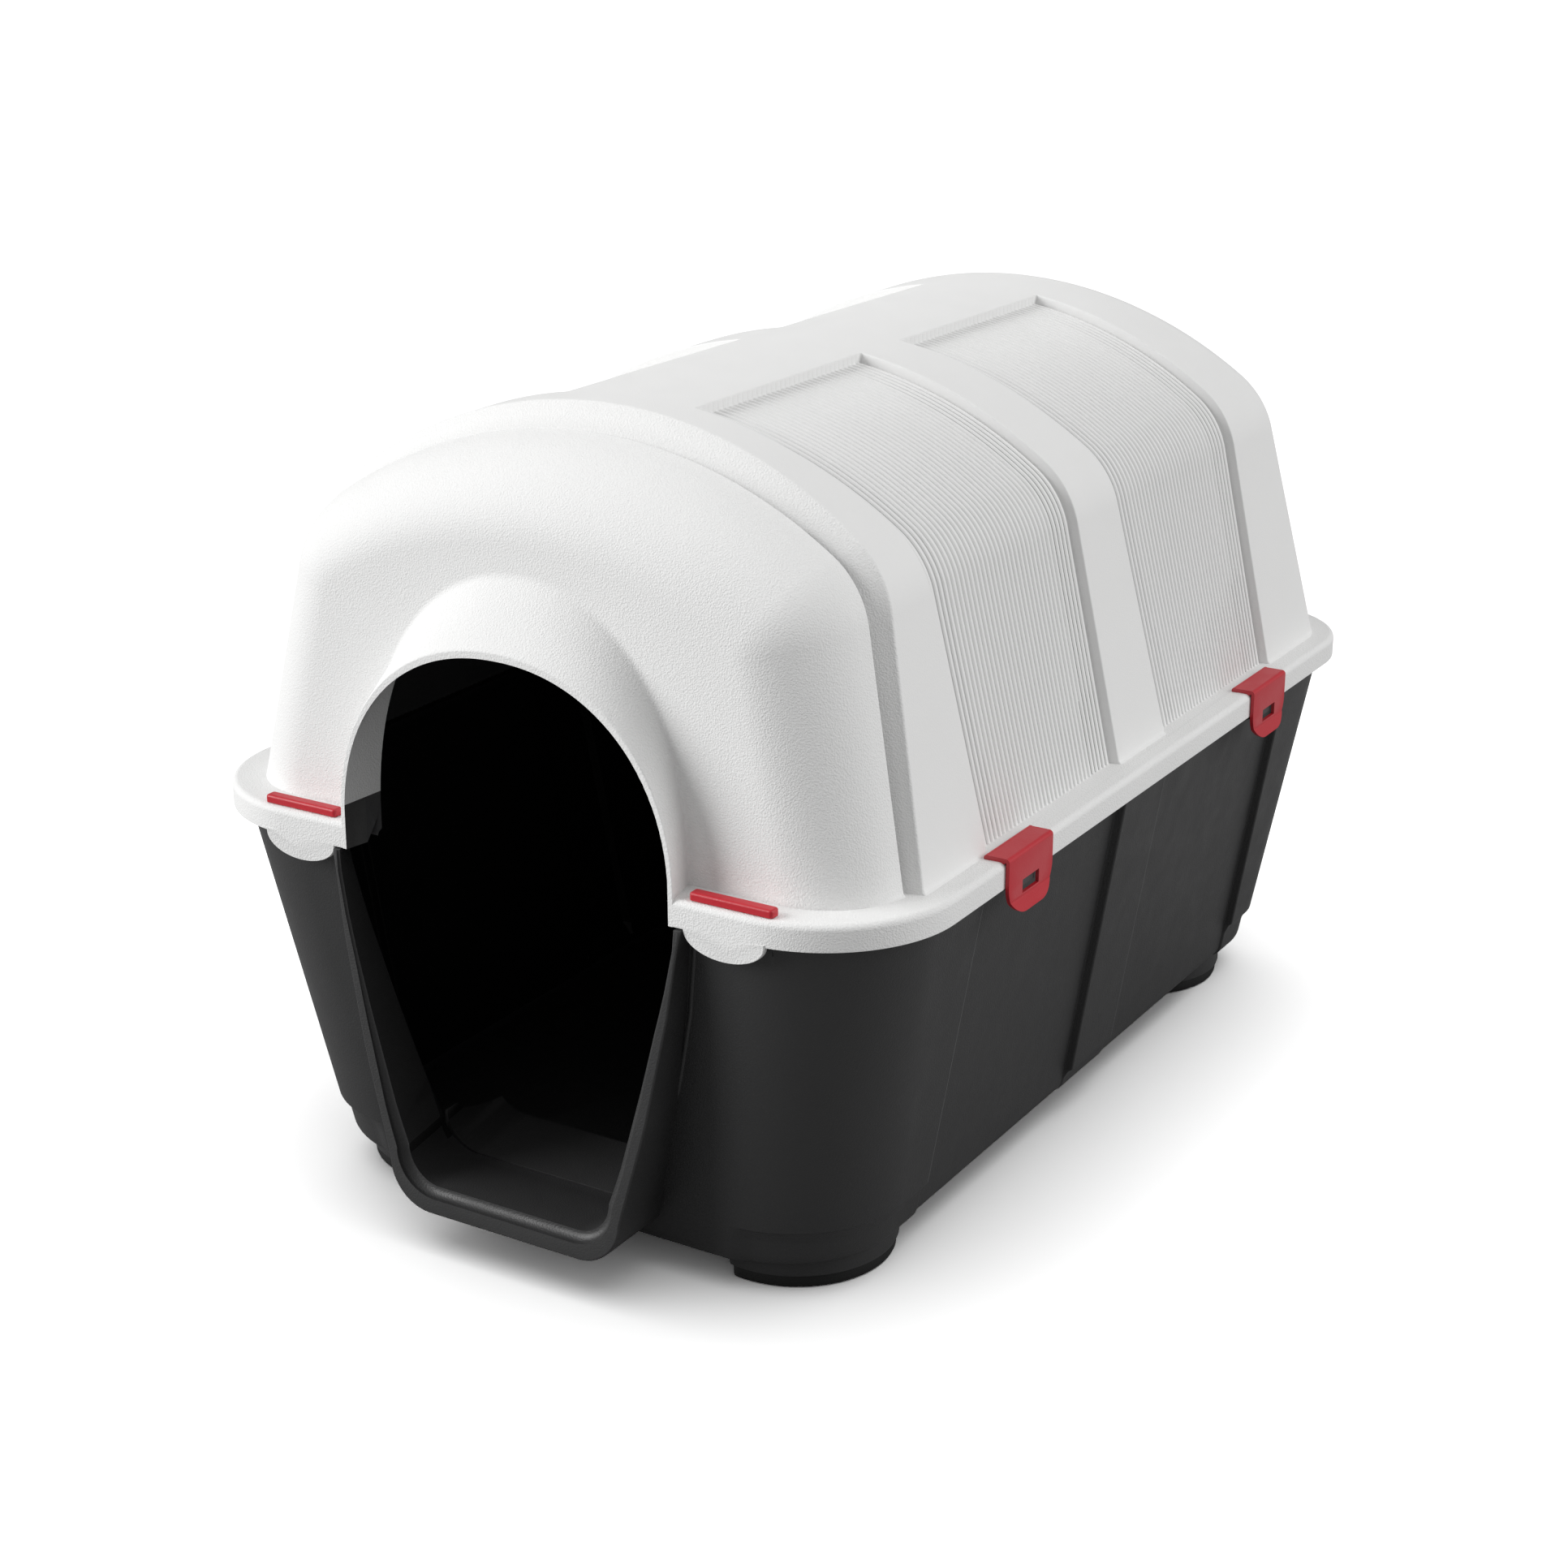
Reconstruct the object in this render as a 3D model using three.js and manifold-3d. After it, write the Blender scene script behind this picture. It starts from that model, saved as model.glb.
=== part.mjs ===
// Outdoor dog house for one medium dog, injection moulded in two shells.
//
// A tapered tub with a moulded floor and a door collar stands on four round feet. An arched roof
// with an entrance hood sits over its rim. Four clips on the long sides swing over catch noses on
// the tub, and two drop-in keys hold the roof beside the door.
//
// Millimetres. +Z up, the door faces -Y, +X is to the right of someone looking at the door.
// The origin is on the ground, under the middle of the house.

import * as THREE from "three";
import { mergeVertices } from "three/addons/utils/BufferGeometryUtils.js";
import Module from "manifold-3d";

const wasm = await Module();
wasm.setup();

// ---------------------------------------------------------------- driving dimensions

const SEAT_GAP = 0.3; // between pieces that rest on each other
const SLIDE_GAP = 0.5; // round pieces that slide or turn in another
const OVERCUT = 5; // how far a cutting solid runs past what it cuts

// plan of the roof flange, the widest outline of the house
const FLANGE = {
  width: 564,
  length: 825,
  frontRadius: 95,
  rearRadius: 84,
  thickness: 3.5,
  skirt: 18.3, // height of the edge, from the flange top down
  edgeRound: 4.5,
};

const COLLAR_REACH = 14; // how far the door collar stands out past the flange

// the tub's wall is upright behind the skirt and tapers in below it
const TUB = {
  wall: 4,
  depth: 273.2, // from the underside of the floor to the top of the rim
  floor: 4,
  sideSetback: 12, // from the flange edge to the wall, at the top
  frontSetback: 9,
  rearSetback: 10,
  frontRadius: 88,
  rearRadius: 75,
  sideTaper: 45, // how much further in each wall is at the bottom
  frontTaper: 37,
  rearTaper: 25,
  frontRadiusLoss: 4,
  rearRadiusLoss: 10,
  lip: 3.5,
  lipHeight: 5,
  bottomRound: 10,
};

// two recessed fields on each of the tub's long sides, with a mullion between them
const FIELD = {
  depth: 6.5,
  draft: 1.5,
  fromFront: 164, // from the flange's front edge to the front field
  fromRear: 137,
  mullion: 70,
  mullionOffset: 6.5, // of its middle, behind the middle of the flange
  rake: 12, // how far back a field's rear edges lean from top to bottom
  headroom: 8, // below the rim's lip
};
// the corners, and lower down the mullion, step in above the feet, and the fields run on between them
const BOOT = {
  cornerHeight: 33, // over the underside of the floor
  mullionHeight: 22, // the corners are fully in where the mullion starts to step in
  innerHeight: 12, // and below this the mullion is in too
  cornerTuck: 4.5,
  mullionTuck: 5.5,
};

const FOOT = {
  legRadius: 71,
  legHeight: 13,
  padHeight: 9.7,
  padInset: 2,
  chamfer: 2,
  fromSide: 82, // from the wall's foot to the middle of the pad
  fromFront: 90,
  fromRear: 90,
};

// door collar: [depth below the flange top, distance in from the flange's side] down each side
const COLLAR = {
  outer: [[19.3, 142.5], [80, 151], [160, 167], [228, 185]],
  outerBottom: 268,
  outerCorner: 34,
  inner: [[19.3, 146], [67, 155], [133, 171.5], [200, 190], [222, 198]],
  innerBottom: 250,
  innerCorner: 26,
  topReach: 2, // past the flange at its upper end
  edgeDepth: 3, // rounding of the front edge
  edgeShare: 0.973, // size of the front face compared with the full outline
  straightDepth: 8, // of the trough, before it starts to widen
  spread: 1.22, // how much wider the trough is at its inner end
  sillDepth: 128, // from the collar's front to the step down to the floor
};

// arched roof: an upright-leaning wall, a knuckle arc and a flat crown arc
const ARCH = { ledge: 18.5, rise: 277.5, crownRadius: 335, knuckleRadius: 72, lean: 12.6 };
const DOME = { ledge: 28.5, rise: 261.5, crownRadius: 345, knuckleRadius: 66, lean: 12.6 };
const ROOF = {
  wall: 3.5,
  ridgeHalfWidth: 51,
  panelDepth: 8,
  panelDraft: 1.5,
  // distances at the flange and at the crown, from the flange's front edge
  domeFace: [27, 32],
  domeBack: [84, 112],
  bandEdge: [88, 126],
  frontPanelStart: [174, 158],
  // the middle band, from the middle of the flange
  bandStart: [-33.5, -36.5],
  bandEnd: [46.5, 20.5],
  // from the flange's rear edge
  rearPanelEnd: [165, 167],
  rearStart: [83, 107],
  rearFace: [28, 69],
  domeRound: 58,
  rearRound: 46,
};
const RIBS = { count: 35, height: 1.9 }; // across each recessed panel, on its floor

// entrance hood: half-ellipse arches at its front edge and where it leaves the dome
const HOOD = {
  front: { fromSide: 149, rise: 139.5 },
  back: { fromSide: 155, rise: 181.5 },
  depth: 31,
  rootDepth: 45, // runs on into the dome this far, so that no thin slivers are left at the joint
  sideWall: 3.5,
  topWall: 5,
  fullness: 2.15,
};

const TAB = { fromSide: 112, halfWidth: 30, drop: 15.7 };

// side clips
const CLIP = {
  width: 64,
  plate: 2.6,
  fromFront: 196, // from the flange's front edge to the middle of a front clip
  fromRear: 215,
  pivotInset: 13.5, // from the flange edge to the pivot
  pivotHeight: 1,
  barrel: 2.2,
  drop: 38.5, // below the flange top
  cornerRadius: 14,
  bendRadius: 3,
  lipOut: 3.4, // how far the finger lip stands out
  lipRise: [6, 11, 14], // heights over the clip's foot where the outer face meets its slopes
  lipInner: 9, // height where the inner face starts to slope
  windowWidth: 24,
  windowTop: 17.5,
  windowHeight: 9.5,
};
const NOSE = { width: 23, height: 7, below: 0.9, tipGap: 0.2, chamfer: 1.5, rootDrop: 5 };

// drop-in keys beside the door
const KEY = {
  fromSide: 109.5,
  barLength: 61,
  barDepth: 9,
  barHeight: 5.6,
  barSetback: 4.5, // from the flange edge
  bladeWidth: 44,
  bladeThickness: 2,
  bladeLength: 24, // below the flange top
  bladeInset: 0.4, // behind the bar's rear edge
  barCorner: 2,
  barBevel: 1.2,
  tipChamfer: 5,
  tipGap: 1, // between the blade's tip and the closed bottom of its slot
  pocketWall: 4,
  pocketFloor: 3,
};

// ---------------------------------------------------------------- derived places

const flangeFront = -(FLANGE.length + COLLAR_REACH) / 2 + COLLAR_REACH;
const flangeRear = flangeFront + FLANGE.length;
const flangeHalf = FLANGE.width / 2;
const floorUnderside = FOOT.padHeight + SEAT_GAP + FOOT.legHeight;
const rimTop = floorUnderside + TUB.depth;
const flangeUnderside = rimTop + SEAT_GAP;
const flangeTop = flangeUnderside + FLANGE.thickness;
const skirtBottom = flangeTop - FLANGE.skirt;
const cornerBootTop = floorUnderside + BOOT.cornerHeight;
const mullionBootTop = floorUnderside + BOOT.mullionHeight;
const bootInner = floorUnderside + BOOT.innerHeight;
const lipFoot = rimTop - TUB.lipHeight;
const fieldTop = lipFoot - FIELD.headroom;
const keyBladeRear = flangeFront + KEY.barSetback + KEY.barDepth + KEY.bladeInset;
const keyBladeFront = keyBladeRear - KEY.bladeThickness;
const pivotX = flangeHalf - CLIP.pivotInset;
const pivotZ = flangeTop + CLIP.pivotHeight;
const radians = THREE.MathUtils.degToRad;
const fromFront = (distance) => flangeFront + distance;
const fromMiddle = (distance) => FLANGE.length / 2 + distance;
const fromRear = (distance) => FLANGE.length - distance;
const clipPlaces = [CLIP.fromFront, fromRear(CLIP.fromRear)].map(fromFront);
const tabCentre = flangeHalf - TAB.fromSide;
const keyCentre = flangeHalf - KEY.fromSide;

// ---------------------------------------------------------------- geometry tools

function toManifold(geometry) {
  const bare = geometry.clone();
  bare.deleteAttribute("normal");
  bare.deleteAttribute("uv");
  const merged = mergeVertices(bare, 1e-4);
  return new wasm.Manifold(new wasm.Mesh({
    numProp: 3,
    vertProperties: new Float32Array(merged.attributes.position.array),
    triVerts: new Uint32Array(merged.index.array),
  }));
}

function toGeometry(manifold) {
  const { vertProperties, triVerts } = manifold.getMesh();
  const geometry = new THREE.BufferGeometry();
  geometry.setAttribute("position", new THREE.BufferAttribute(new Float32Array(vertProperties), 3));
  geometry.setIndex(new THREE.BufferAttribute(new Uint32Array(triVerts), 1));
  geometry.computeVertexNormals();
  return geometry;
}

// A closed solid through rings of equally many points, with a fan over each end.
function loft(rings) {
  const count = rings[0].length;
  const points = rings.flat();
  const triangles = [];
  for (let r = 0; r + 1 < rings.length; r++) {
    for (let i = 0; i < count; i++) {
      const next = (i + 1) % count;
      const [a, b, c, d] = [r * count + i, r * count + next, (r + 1) * count + next, (r + 1) * count + i];
      triangles.push(a, b, c, a, c, d);
    }
  }
  const addFan = (start, flipped) => {
    const centre = new THREE.Vector3();
    for (let i = 0; i < count; i++) centre.addScaledVector(points[start + i], 1 / count);
    const hub = points.push(centre) - 1;
    for (let i = 0; i < count; i++) {
      const [a, b] = [start + i, start + ((i + 1) % count)];
      triangles.push(...(flipped ? [hub, a, b] : [hub, b, a]));
    }
  };
  addFan(0, false);
  addFan((rings.length - 1) * count, true);
  let volume = 0;
  for (let t = 0; t < triangles.length; t += 3) {
    const [a, b, c] = [points[triangles[t]], points[triangles[t + 1]], points[triangles[t + 2]]];
    volume += a.dot(b.clone().cross(c));
  }
  if (volume < 0) {
    for (let t = 0; t < triangles.length; t += 3) {
      [triangles[t + 1], triangles[t + 2]] = [triangles[t + 2], triangles[t + 1]];
    }
  }
  const geometry = new THREE.BufferGeometry().setFromPoints(points);
  geometry.setIndex(triangles);
  return toManifold(geometry);
}

function box(x0, x1, y0, y1, z0, z1) {
  const geometry = new THREE.BoxGeometry(x1 - x0, y1 - y0, z1 - z0);
  geometry.translate((x0 + x1) / 2, (y0 + y1) / 2, (z0 + z1) / 2);
  return toManifold(geometry);
}

function arc(cx, cy, radius, from, to, steps) {
  return Array.from({ length: steps + 1 }, (_, i) => {
    const angle = radians(from + ((to - from) * i) / steps);
    return new THREE.Vector2(cx + radius * Math.cos(angle), cy + radius * Math.sin(angle));
  });
}

function interpolate(table, at) {
  let i = 1;
  while (i < table.length - 1 && at > table[i][0]) i++;
  const [[x0, y0], [x1, y1]] = [table[i - 1], table[i]];
  return y0 + ((y1 - y0) * (at - x0)) / (x1 - x0);
}

const unite = (solids) => solids.reduce((sum, solid) => sum.add(solid));
const bothSides = (make) => [1, -1].map(make);

// ---------------------------------------------------------------- flange and tub plans

// Rounded rectangle of the flange, moved in by inset, at height z.
function flangeRing(inset, z) {
  const [front, rear, half] = [flangeFront + inset, flangeRear - inset, flangeHalf - inset];
  const [rf, rr] = [FLANGE.frontRadius - inset, FLANGE.rearRadius - inset];
  return [
    ...arc(half - rf, front + rf, rf, -90, 0, 10),
    ...arc(half - rr, rear - rr, rr, 0, 90, 8),
    ...arc(rr - half, rear - rr, rr, 90, 180, 8),
    ...arc(rf - half, front + rf, rf, 180, 270, 10),
  ].map((p) => new THREE.Vector3(p.x, p.y, z));
}

const taperShare = (z) => THREE.MathUtils.clamp((skirtBottom - z) / (skirtBottom - floorUnderside), 0, 1);

function tubWall(z) {
  const share = taperShare(z);
  return {
    half: flangeHalf - TUB.sideSetback - TUB.sideTaper * share,
    front: flangeFront + TUB.frontSetback + TUB.frontTaper * share,
    rear: flangeRear - TUB.rearSetback - TUB.rearTaper * share,
    frontRadius: TUB.frontRadius - TUB.frontRadiusLoss * share,
    rearRadius: TUB.rearRadius - TUB.rearRadiusLoss * share,
  };
}

// Points along one long side of the tub, from front to back: [y, share of the field's depth, and
// whether it is an end of the mullion].
function sideStations(z, widen) {
  const share = taperShare(z);
  const rake = FIELD.rake * share;
  const mullion = fromFront(fromMiddle(FIELD.mullionOffset));
  const fields = [
    [fromFront(FIELD.fromFront), mullion - FIELD.mullion / 2 + rake],
    [mullion + FIELD.mullion / 2 + rake, fromFront(fromRear(FIELD.fromRear)) + rake],
  ];
  return fields.flatMap(([start, end], i) => {
    const [front, rear] = [start - widen, end + widen];
    return [
      [front, 0, i === 1],
      [front + FIELD.draft, 1, false],
      [rear - FIELD.draft, 1, false],
      [rear, 0, i === 0],
    ];
  });
}

// One level of the tub. inset moves the whole outline in and fieldDepth sinks the fields. cornerTuck
// draws in the corners, but not the front and rear walls, and mullionTuck the mullion.
function tubRing(z, { inset = 0, fieldDepth = 0, cornerTuck = 0, mullionTuck = 0, widen = 0 }) {
  const wall = tubWall(z);
  const half = wall.half - inset;
  const front = wall.front + inset;
  const rear = wall.rear - inset;
  const rf = wall.frontRadius - inset;
  const rr = wall.rearRadius - inset;
  const corner = (cx, cy, radius, from, steps, fixed) => {
    const full = arc(cx, cy, radius, from, from + 90, steps);
    const tucked = arc(cx, cy, radius - cornerTuck, from, from + 90, steps);
    return tucked.map((p, i) => (i === fixed ? full[i] : p));
  };
  const side = (sign) => sideStations(z, widen).map(([y, share, onMullion]) => {
    const tuck = onMullion ? mullionTuck : cornerTuck;
    return new THREE.Vector2(sign * (half - (share ? fieldDepth : tuck)), y);
  });
  return [
    ...corner(half - rf, front + rf, rf, -90, 9, 0),
    ...side(1),
    ...corner(half - rr, rear - rr, rr, 0, 7, 7),
    ...corner(rr - half, rear - rr, rr, 90, 7, 0),
    ...side(-1).reverse(),
    ...corner(rf - half, front + rf, rf, 180, 9, 9),
  ].map((p) => new THREE.Vector3(p.x, p.y, z));
}

const fullField = { fieldDepth: FIELD.depth };
const cornersIn = { ...fullField, cornerTuck: BOOT.cornerTuck };
const booted = { ...cornersIn, mullionTuck: BOOT.mullionTuck };

// The rounded edge between the bottom at height z and the walls.
function footRings(z, radius, options) {
  return [90, 45, 0].map((angle) => {
    const inset = (options.inset ?? 0) + radius * (1 - Math.cos(radians(angle)));
    return tubRing(z + radius * (1 - Math.sin(radians(angle))), { ...options, inset });
  });
}

function tubOuter() {
  return loft([
    ...footRings(floorUnderside, TUB.bottomRound, booted),
    tubRing(bootInner, booted),
    tubRing(mullionBootTop, cornersIn),
    tubRing(cornerBootTop, fullField),
    tubRing(skirtBottom, fullField),
    tubRing(fieldTop, fullField),
    tubRing(fieldTop + FIELD.draft, {}),
    tubRing(lipFoot, {}),
    tubRing(lipFoot + 1, { inset: -TUB.lip }),
    tubRing(rimTop - 1, { inset: -TUB.lip }),
    tubRing(rimTop, { inset: 1 - TUB.lip }),
  ]);
}

function tubHollow() {
  const floorTop = floorUnderside + TUB.floor;
  const inner = { inset: TUB.wall, widen: TUB.wall - FIELD.draft / 2 };
  const innerField = { ...inner, ...fullField };
  const innerCorners = { ...inner, ...cornersIn };
  const innerBoot = { ...inner, ...booted };
  return loft([
    ...footRings(floorTop, TUB.bottomRound - TUB.floor, innerBoot),
    tubRing(bootInner, innerBoot),
    tubRing(mullionBootTop, innerCorners),
    tubRing(cornerBootTop, innerField),
    tubRing(skirtBottom, innerField),
    tubRing(fieldTop + TUB.wall, innerField),
    tubRing(fieldTop + TUB.wall + FIELD.draft, inner),
    tubRing(rimTop + OVERCUT, inner),
  ]);
}

// ---------------------------------------------------------------- door collar

// U-shaped outline of the collar in the plane of the door, from the right arm's top round the
// sill to the left arm's top.
function collarOutline(table, bottom, corner, widthScale = 1) {
  const top = table[0][0];
  const cornerTop = bottom - corner;
  const heights = [top, ...table.slice(1).map(([h]) => h).filter((h) => h < cornerTop - 5)];
  const halfWidth = (depth) => flangeHalf - interpolate(table, depth);
  const sides = heights.map((h) => [halfWidth(h), h]);
  const atCorner = halfWidth(cornerTop);
  const round = [0, 22.5, 45, 67.5, 90].map((angle) => [
    atCorner - corner * (1 - Math.cos(radians(angle))),
    cornerTop + corner * Math.sin(radians(angle)),
  ]);
  const right = [...sides, ...round].map(([x, h]) => new THREE.Vector2(x * widthScale, flangeTop - h));
  return [...right, ...right.map((p) => new THREE.Vector2(-p.x, p.y)).reverse()];
}

// The collar's front leans: its foot stands out further than its upper ends.
function collarFront(z) {
  const share = (flangeTop - z) / COLLAR.outerBottom;
  return flangeFront - COLLAR.topReach - (COLLAR_REACH - COLLAR.topReach) * Math.min(share, 1);
}

const sillBack = flangeFront - COLLAR_REACH + COLLAR.sillDepth;

function collarOuter() {
  const outline = collarOutline(COLLAR.outer, COLLAR.outerBottom, COLLAR.outerCorner);
  const top = outline[0].y;
  const middle = flangeTop - COLLAR.outerBottom / 2;
  const ring = (depth, share) => outline.map((p) => new THREE.Vector3(
    p.x * share,
    collarFront(p.y) + depth,
    p.y === top ? top : middle + (p.y - middle) * share));
  const root = outline.map((p) => new THREE.Vector3(p.x, tubWall(p.y).front + TUB.wall / 2, p.y));
  return loft([ring(0, COLLAR.edgeShare), ring(COLLAR.edgeDepth, 1), root]);
}

// The way through the collar: a trough whose inner end is wider.
function doorway() {
  const atFront = collarOutline(COLLAR.inner, COLLAR.innerBottom, COLLAR.innerCorner);
  const atBack = collarOutline(COLLAR.inner, COLLAR.innerBottom, COLLAR.innerCorner, COLLAR.spread);
  const raise = (list, y) => list.map((p, i) => {
    const isTop = i === 0 || i === list.length - 1;
    return new THREE.Vector3(p.x, y(p.y), isTop ? rimTop + OVERCUT : p.y);
  });
  return loft([
    raise(atFront, (z) => collarFront(z) - OVERCUT),
    raise(atFront, (z) => collarFront(z) + COLLAR.straightDepth),
    raise(atBack, () => sillBack),
  ]);
}

// Raised sill between the tub's front wall and the step down to the floor.
function sillBlock() {
  const sillTop = flangeTop - COLLAR.innerBottom;
  const width = (flangeHalf - interpolate(COLLAR.inner, COLLAR.innerBottom)) * COLLAR.spread + TUB.wall;
  const wallFront = tubWall(floorUnderside).front + TUB.wall / 2;
  const bottom = floorUnderside + TUB.floor / 2;
  return box(-width, width, wallFront, sillBack, bottom, sillTop + COLLAR.innerCorner);
}

// ---------------------------------------------------------------- tub

function keyPocket(sign) {
  const x = sign * keyCentre;
  const half = KEY.bladeWidth / 2 + SLIDE_GAP;
  const [front, rear] = [keyBladeFront - SLIDE_GAP, keyBladeRear + SLIDE_GAP];
  const slotBottom = flangeTop - KEY.bladeLength - KEY.tipGap;
  const solid = box(
    x - half - KEY.pocketWall, x + half + KEY.pocketWall,
    flangeFront + TUB.frontSetback + TUB.wall / 2, rear + KEY.pocketWall,
    slotBottom - KEY.pocketFloor, rimTop);
  const slot = box(x - half, x + half, front, rear, slotBottom, rimTop + OVERCUT);
  return { solid, slot };
}

// A catch for one clip's window, sloped on top so that the clip rides over it.
function catchNose(sign, y) {
  const tip = flangeHalf - NOSE.tipGap;
  const root = flangeHalf - TUB.sideSetback - FIELD.depth - TUB.wall / 2 - 1;
  const top = skirtBottom - NOSE.below;
  const bottom = top - NOSE.height;
  const profile = new THREE.Shape([
    new THREE.Vector2(root, top),
    new THREE.Vector2(tip - NOSE.chamfer, top),
    new THREE.Vector2(tip, top - NOSE.chamfer),
    new THREE.Vector2(tip, bottom + NOSE.chamfer),
    new THREE.Vector2(root, bottom - NOSE.rootDrop),
  ]);
  const geometry = new THREE.ExtrudeGeometry(profile, { depth: NOSE.width, bevelEnabled: false });
  geometry.rotateX(Math.PI / 2);
  geometry.translate(0, NOSE.width / 2 + y, 0);
  if (sign < 0) geometry.rotateZ(Math.PI).translate(0, 2 * y, 0);
  return toManifold(geometry);
}

const footPlaces = bothSides((sx) => {
  const bottom = tubWall(floorUnderside);
  return [
    { x: sx * (bottom.half - FOOT.fromSide), y: bottom.front + FOOT.fromFront, end: "front" },
    { x: sx * (bottom.half - FOOT.fromSide), y: bottom.rear - FOOT.fromRear, end: "rear" },
  ];
}).flat();

// Round foot or leg, chamfered at its lower edge.
function disc(radius, z0, z1, x, y) {
  const chamfer = FOOT.chamfer;
  const profile = [[0, z0], [radius - chamfer, z0], [radius, z0 + chamfer], [radius, z1], [0, z1]];
  const geometry = new THREE.LatheGeometry(profile.map(([r, z]) => new THREE.Vector2(r, z)), 40);
  geometry.rotateX(Math.PI / 2);
  geometry.translate(x, y, 0);
  return geometry;
}

function makeTub() {
  const pockets = bothSides(keyPocket);
  const legBottom = floorUnderside - FOOT.legHeight;
  const legs = footPlaces.map(({ x, y }) =>
    toManifold(disc(FOOT.legRadius, legBottom, floorUnderside + TUB.floor / 2, x, y)));
  const noses = bothSides((sign) => clipPlaces.map((y) => catchNose(sign, y))).flat();
  return tubOuter()
    .subtract(tubHollow())
    .add(collarOuter())
    .add(sillBlock().intersect(tubOuter()))
    .add(unite([...pockets.map((p) => p.solid), ...legs, ...noses]))
    .subtract(doorway())
    .subtract(unite(pockets.map((p) => p.slot)));
}

// ---------------------------------------------------------------- roof

// Right half of an arch moved in by inset, as [x, height over the flange]. recess sinks the part
// beside the ridge strip, which widen makes narrower.
function archHalf(arch, inset, recess, widen, bottom) {
  const { rise, crownRadius, knuckleRadius, lean } = arch;
  const halfBase = flangeHalf - arch.ledge;
  const tilt = radians(lean);
  const wallOffset = halfBase * Math.cos(tilt);
  const crownCentre = rise - crownRadius;
  const turn = (wallOffset - knuckleRadius - Math.sin(tilt) * crownCentre) / (crownRadius - knuckleRadius);
  const crownEnd = Math.asin(turn) - tilt;
  const knuckleX = (crownRadius - knuckleRadius) * Math.sin(crownEnd);
  const knuckleZ = crownCentre + (crownRadius - knuckleRadius) * Math.cos(crownEnd);
  const wallEnd = Math.PI / 2 - tilt;
  const moved = inset + recess;
  const onWall = (z) => [halfBase - moved / Math.cos(tilt) - z * Math.tan(tilt), z];
  const onKnuckle = (angle) => [
    knuckleX + (knuckleRadius - moved) * Math.sin(angle),
    knuckleZ + (knuckleRadius - moved) * Math.cos(angle),
  ];
  const onCrown = (angle, depth) => [
    (crownRadius - depth) * Math.sin(angle),
    crownCentre + (crownRadius - depth) * Math.cos(angle),
  ];
  const tangentZ = onKnuckle(wallEnd)[1];
  const knuckleStep = (share) => onKnuckle(wallEnd + (crownEnd - wallEnd) * share);
  const ridgeFoot = Math.asin((ROOF.ridgeHalfWidth + ROOF.panelDraft - widen) / crownRadius);
  const ridgeEdge = Math.asin((ROOF.ridgeHalfWidth - widen) / crownRadius);
  return [
    onWall(bottom),
    knuckleStep(0),
    knuckleStep(1 / 3),
    knuckleStep(2 / 3),
    onCrown(crownEnd, moved),
    onCrown(crownEnd * 0.72, moved),
    onCrown(crownEnd * 0.46, moved),
    onCrown(ridgeFoot, moved),
    onCrown(ridgeEdge, inset),
    onCrown(0, inset),
  ];
}

// One section of the roof. place gives its distance from the flange's front edge at the flange
// and at the crown, so that sections lean as the moulding's draft does.
function roofRing(arch, [low, high], inset, recess, widen, bottom, shift = 0) {
  const right = archHalf(arch, inset, recess, widen, bottom);
  const whole = [...right, ...right.slice(0, -1).map(([x, z]) => [-x, z]).reverse()];
  return whole.map(([x, z]) => {
    const share = THREE.MathUtils.clamp(z / arch.rise, 0, 1);
    return new THREE.Vector3(x, fromFront(low + (high - low) * share) + shift, flangeTop + z);
  });
}

const blend = ([a0, b0], [a1, b1], share) => [a0 + (a1 - a0) * share, b0 + (b1 - b0) * share];
const nudge = ([low, high], by) => [low + by, high + by];

// Roof body without its flange: dome, ledge, bands and recessed panels, and a round rear end.
function roofBody(thickness, bottom) {
  const widen = thickness && thickness - ROOF.panelDraft / 2;
  const ring = (arch, place, inset, recess = 0, shift = 0) =>
    roofRing(arch, place, inset + thickness, recess, widen, bottom, shift);
  const rounding = [90, 68, 45, 22.5, 0];
  const domeRings = rounding.map((angle) => ring(
    DOME,
    blend(ROOF.domeBack, ROOF.domeFace, Math.sin(radians(angle))),
    ROOF.domeRound * (1 - Math.cos(radians(angle))),
    0,
    thickness));
  const panels = [
    [ROOF.frontPanelStart, ROOF.bandStart.map(fromMiddle)],
    [ROOF.bandEnd.map(fromMiddle), ROOF.rearPanelEnd.map(fromRear)],
  ];
  const panelRings = panels.flatMap(([front, rear]) => {
    const floorStart = nudge(front, ROOF.panelDraft - widen);
    const floorEnd = nudge(rear, widen - ROOF.panelDraft);
    // each rib rises from its valley in the front to its crest; the inside of the roof stays plain
    const ribs = Array.from({ length: thickness ? 0 : RIBS.count }, (_, i) => [
      ring(ARCH, blend(floorStart, floorEnd, i / RIBS.count), 0, ROOF.panelDepth),
      ring(ARCH, blend(floorStart, floorEnd, (i + 0.5) / RIBS.count), 0, ROOF.panelDepth - RIBS.height),
    ]).flat();
    const floor = thickness ? [ring(ARCH, floorStart, 0, ROOF.panelDepth)] : ribs;
    return [
      ring(ARCH, nudge(front, -widen), 0),
      ...floor,
      ring(ARCH, floorEnd, 0, ROOF.panelDepth),
      ring(ARCH, nudge(rear, widen), 0),
    ];
  });
  const rearRings = rounding.toReversed().map((angle) => ring(
    ARCH,
    blend(ROOF.rearStart.map(fromRear), ROOF.rearFace.map(fromRear), Math.sin(radians(angle))),
    ROOF.rearRound * (1 - Math.cos(radians(angle))),
    0,
    -thickness));
  return loft([...domeRings, ring(ARCH, ROOF.bandEdge, 0, 0, thickness), ...panelRings, ...rearRings]);
}

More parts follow.
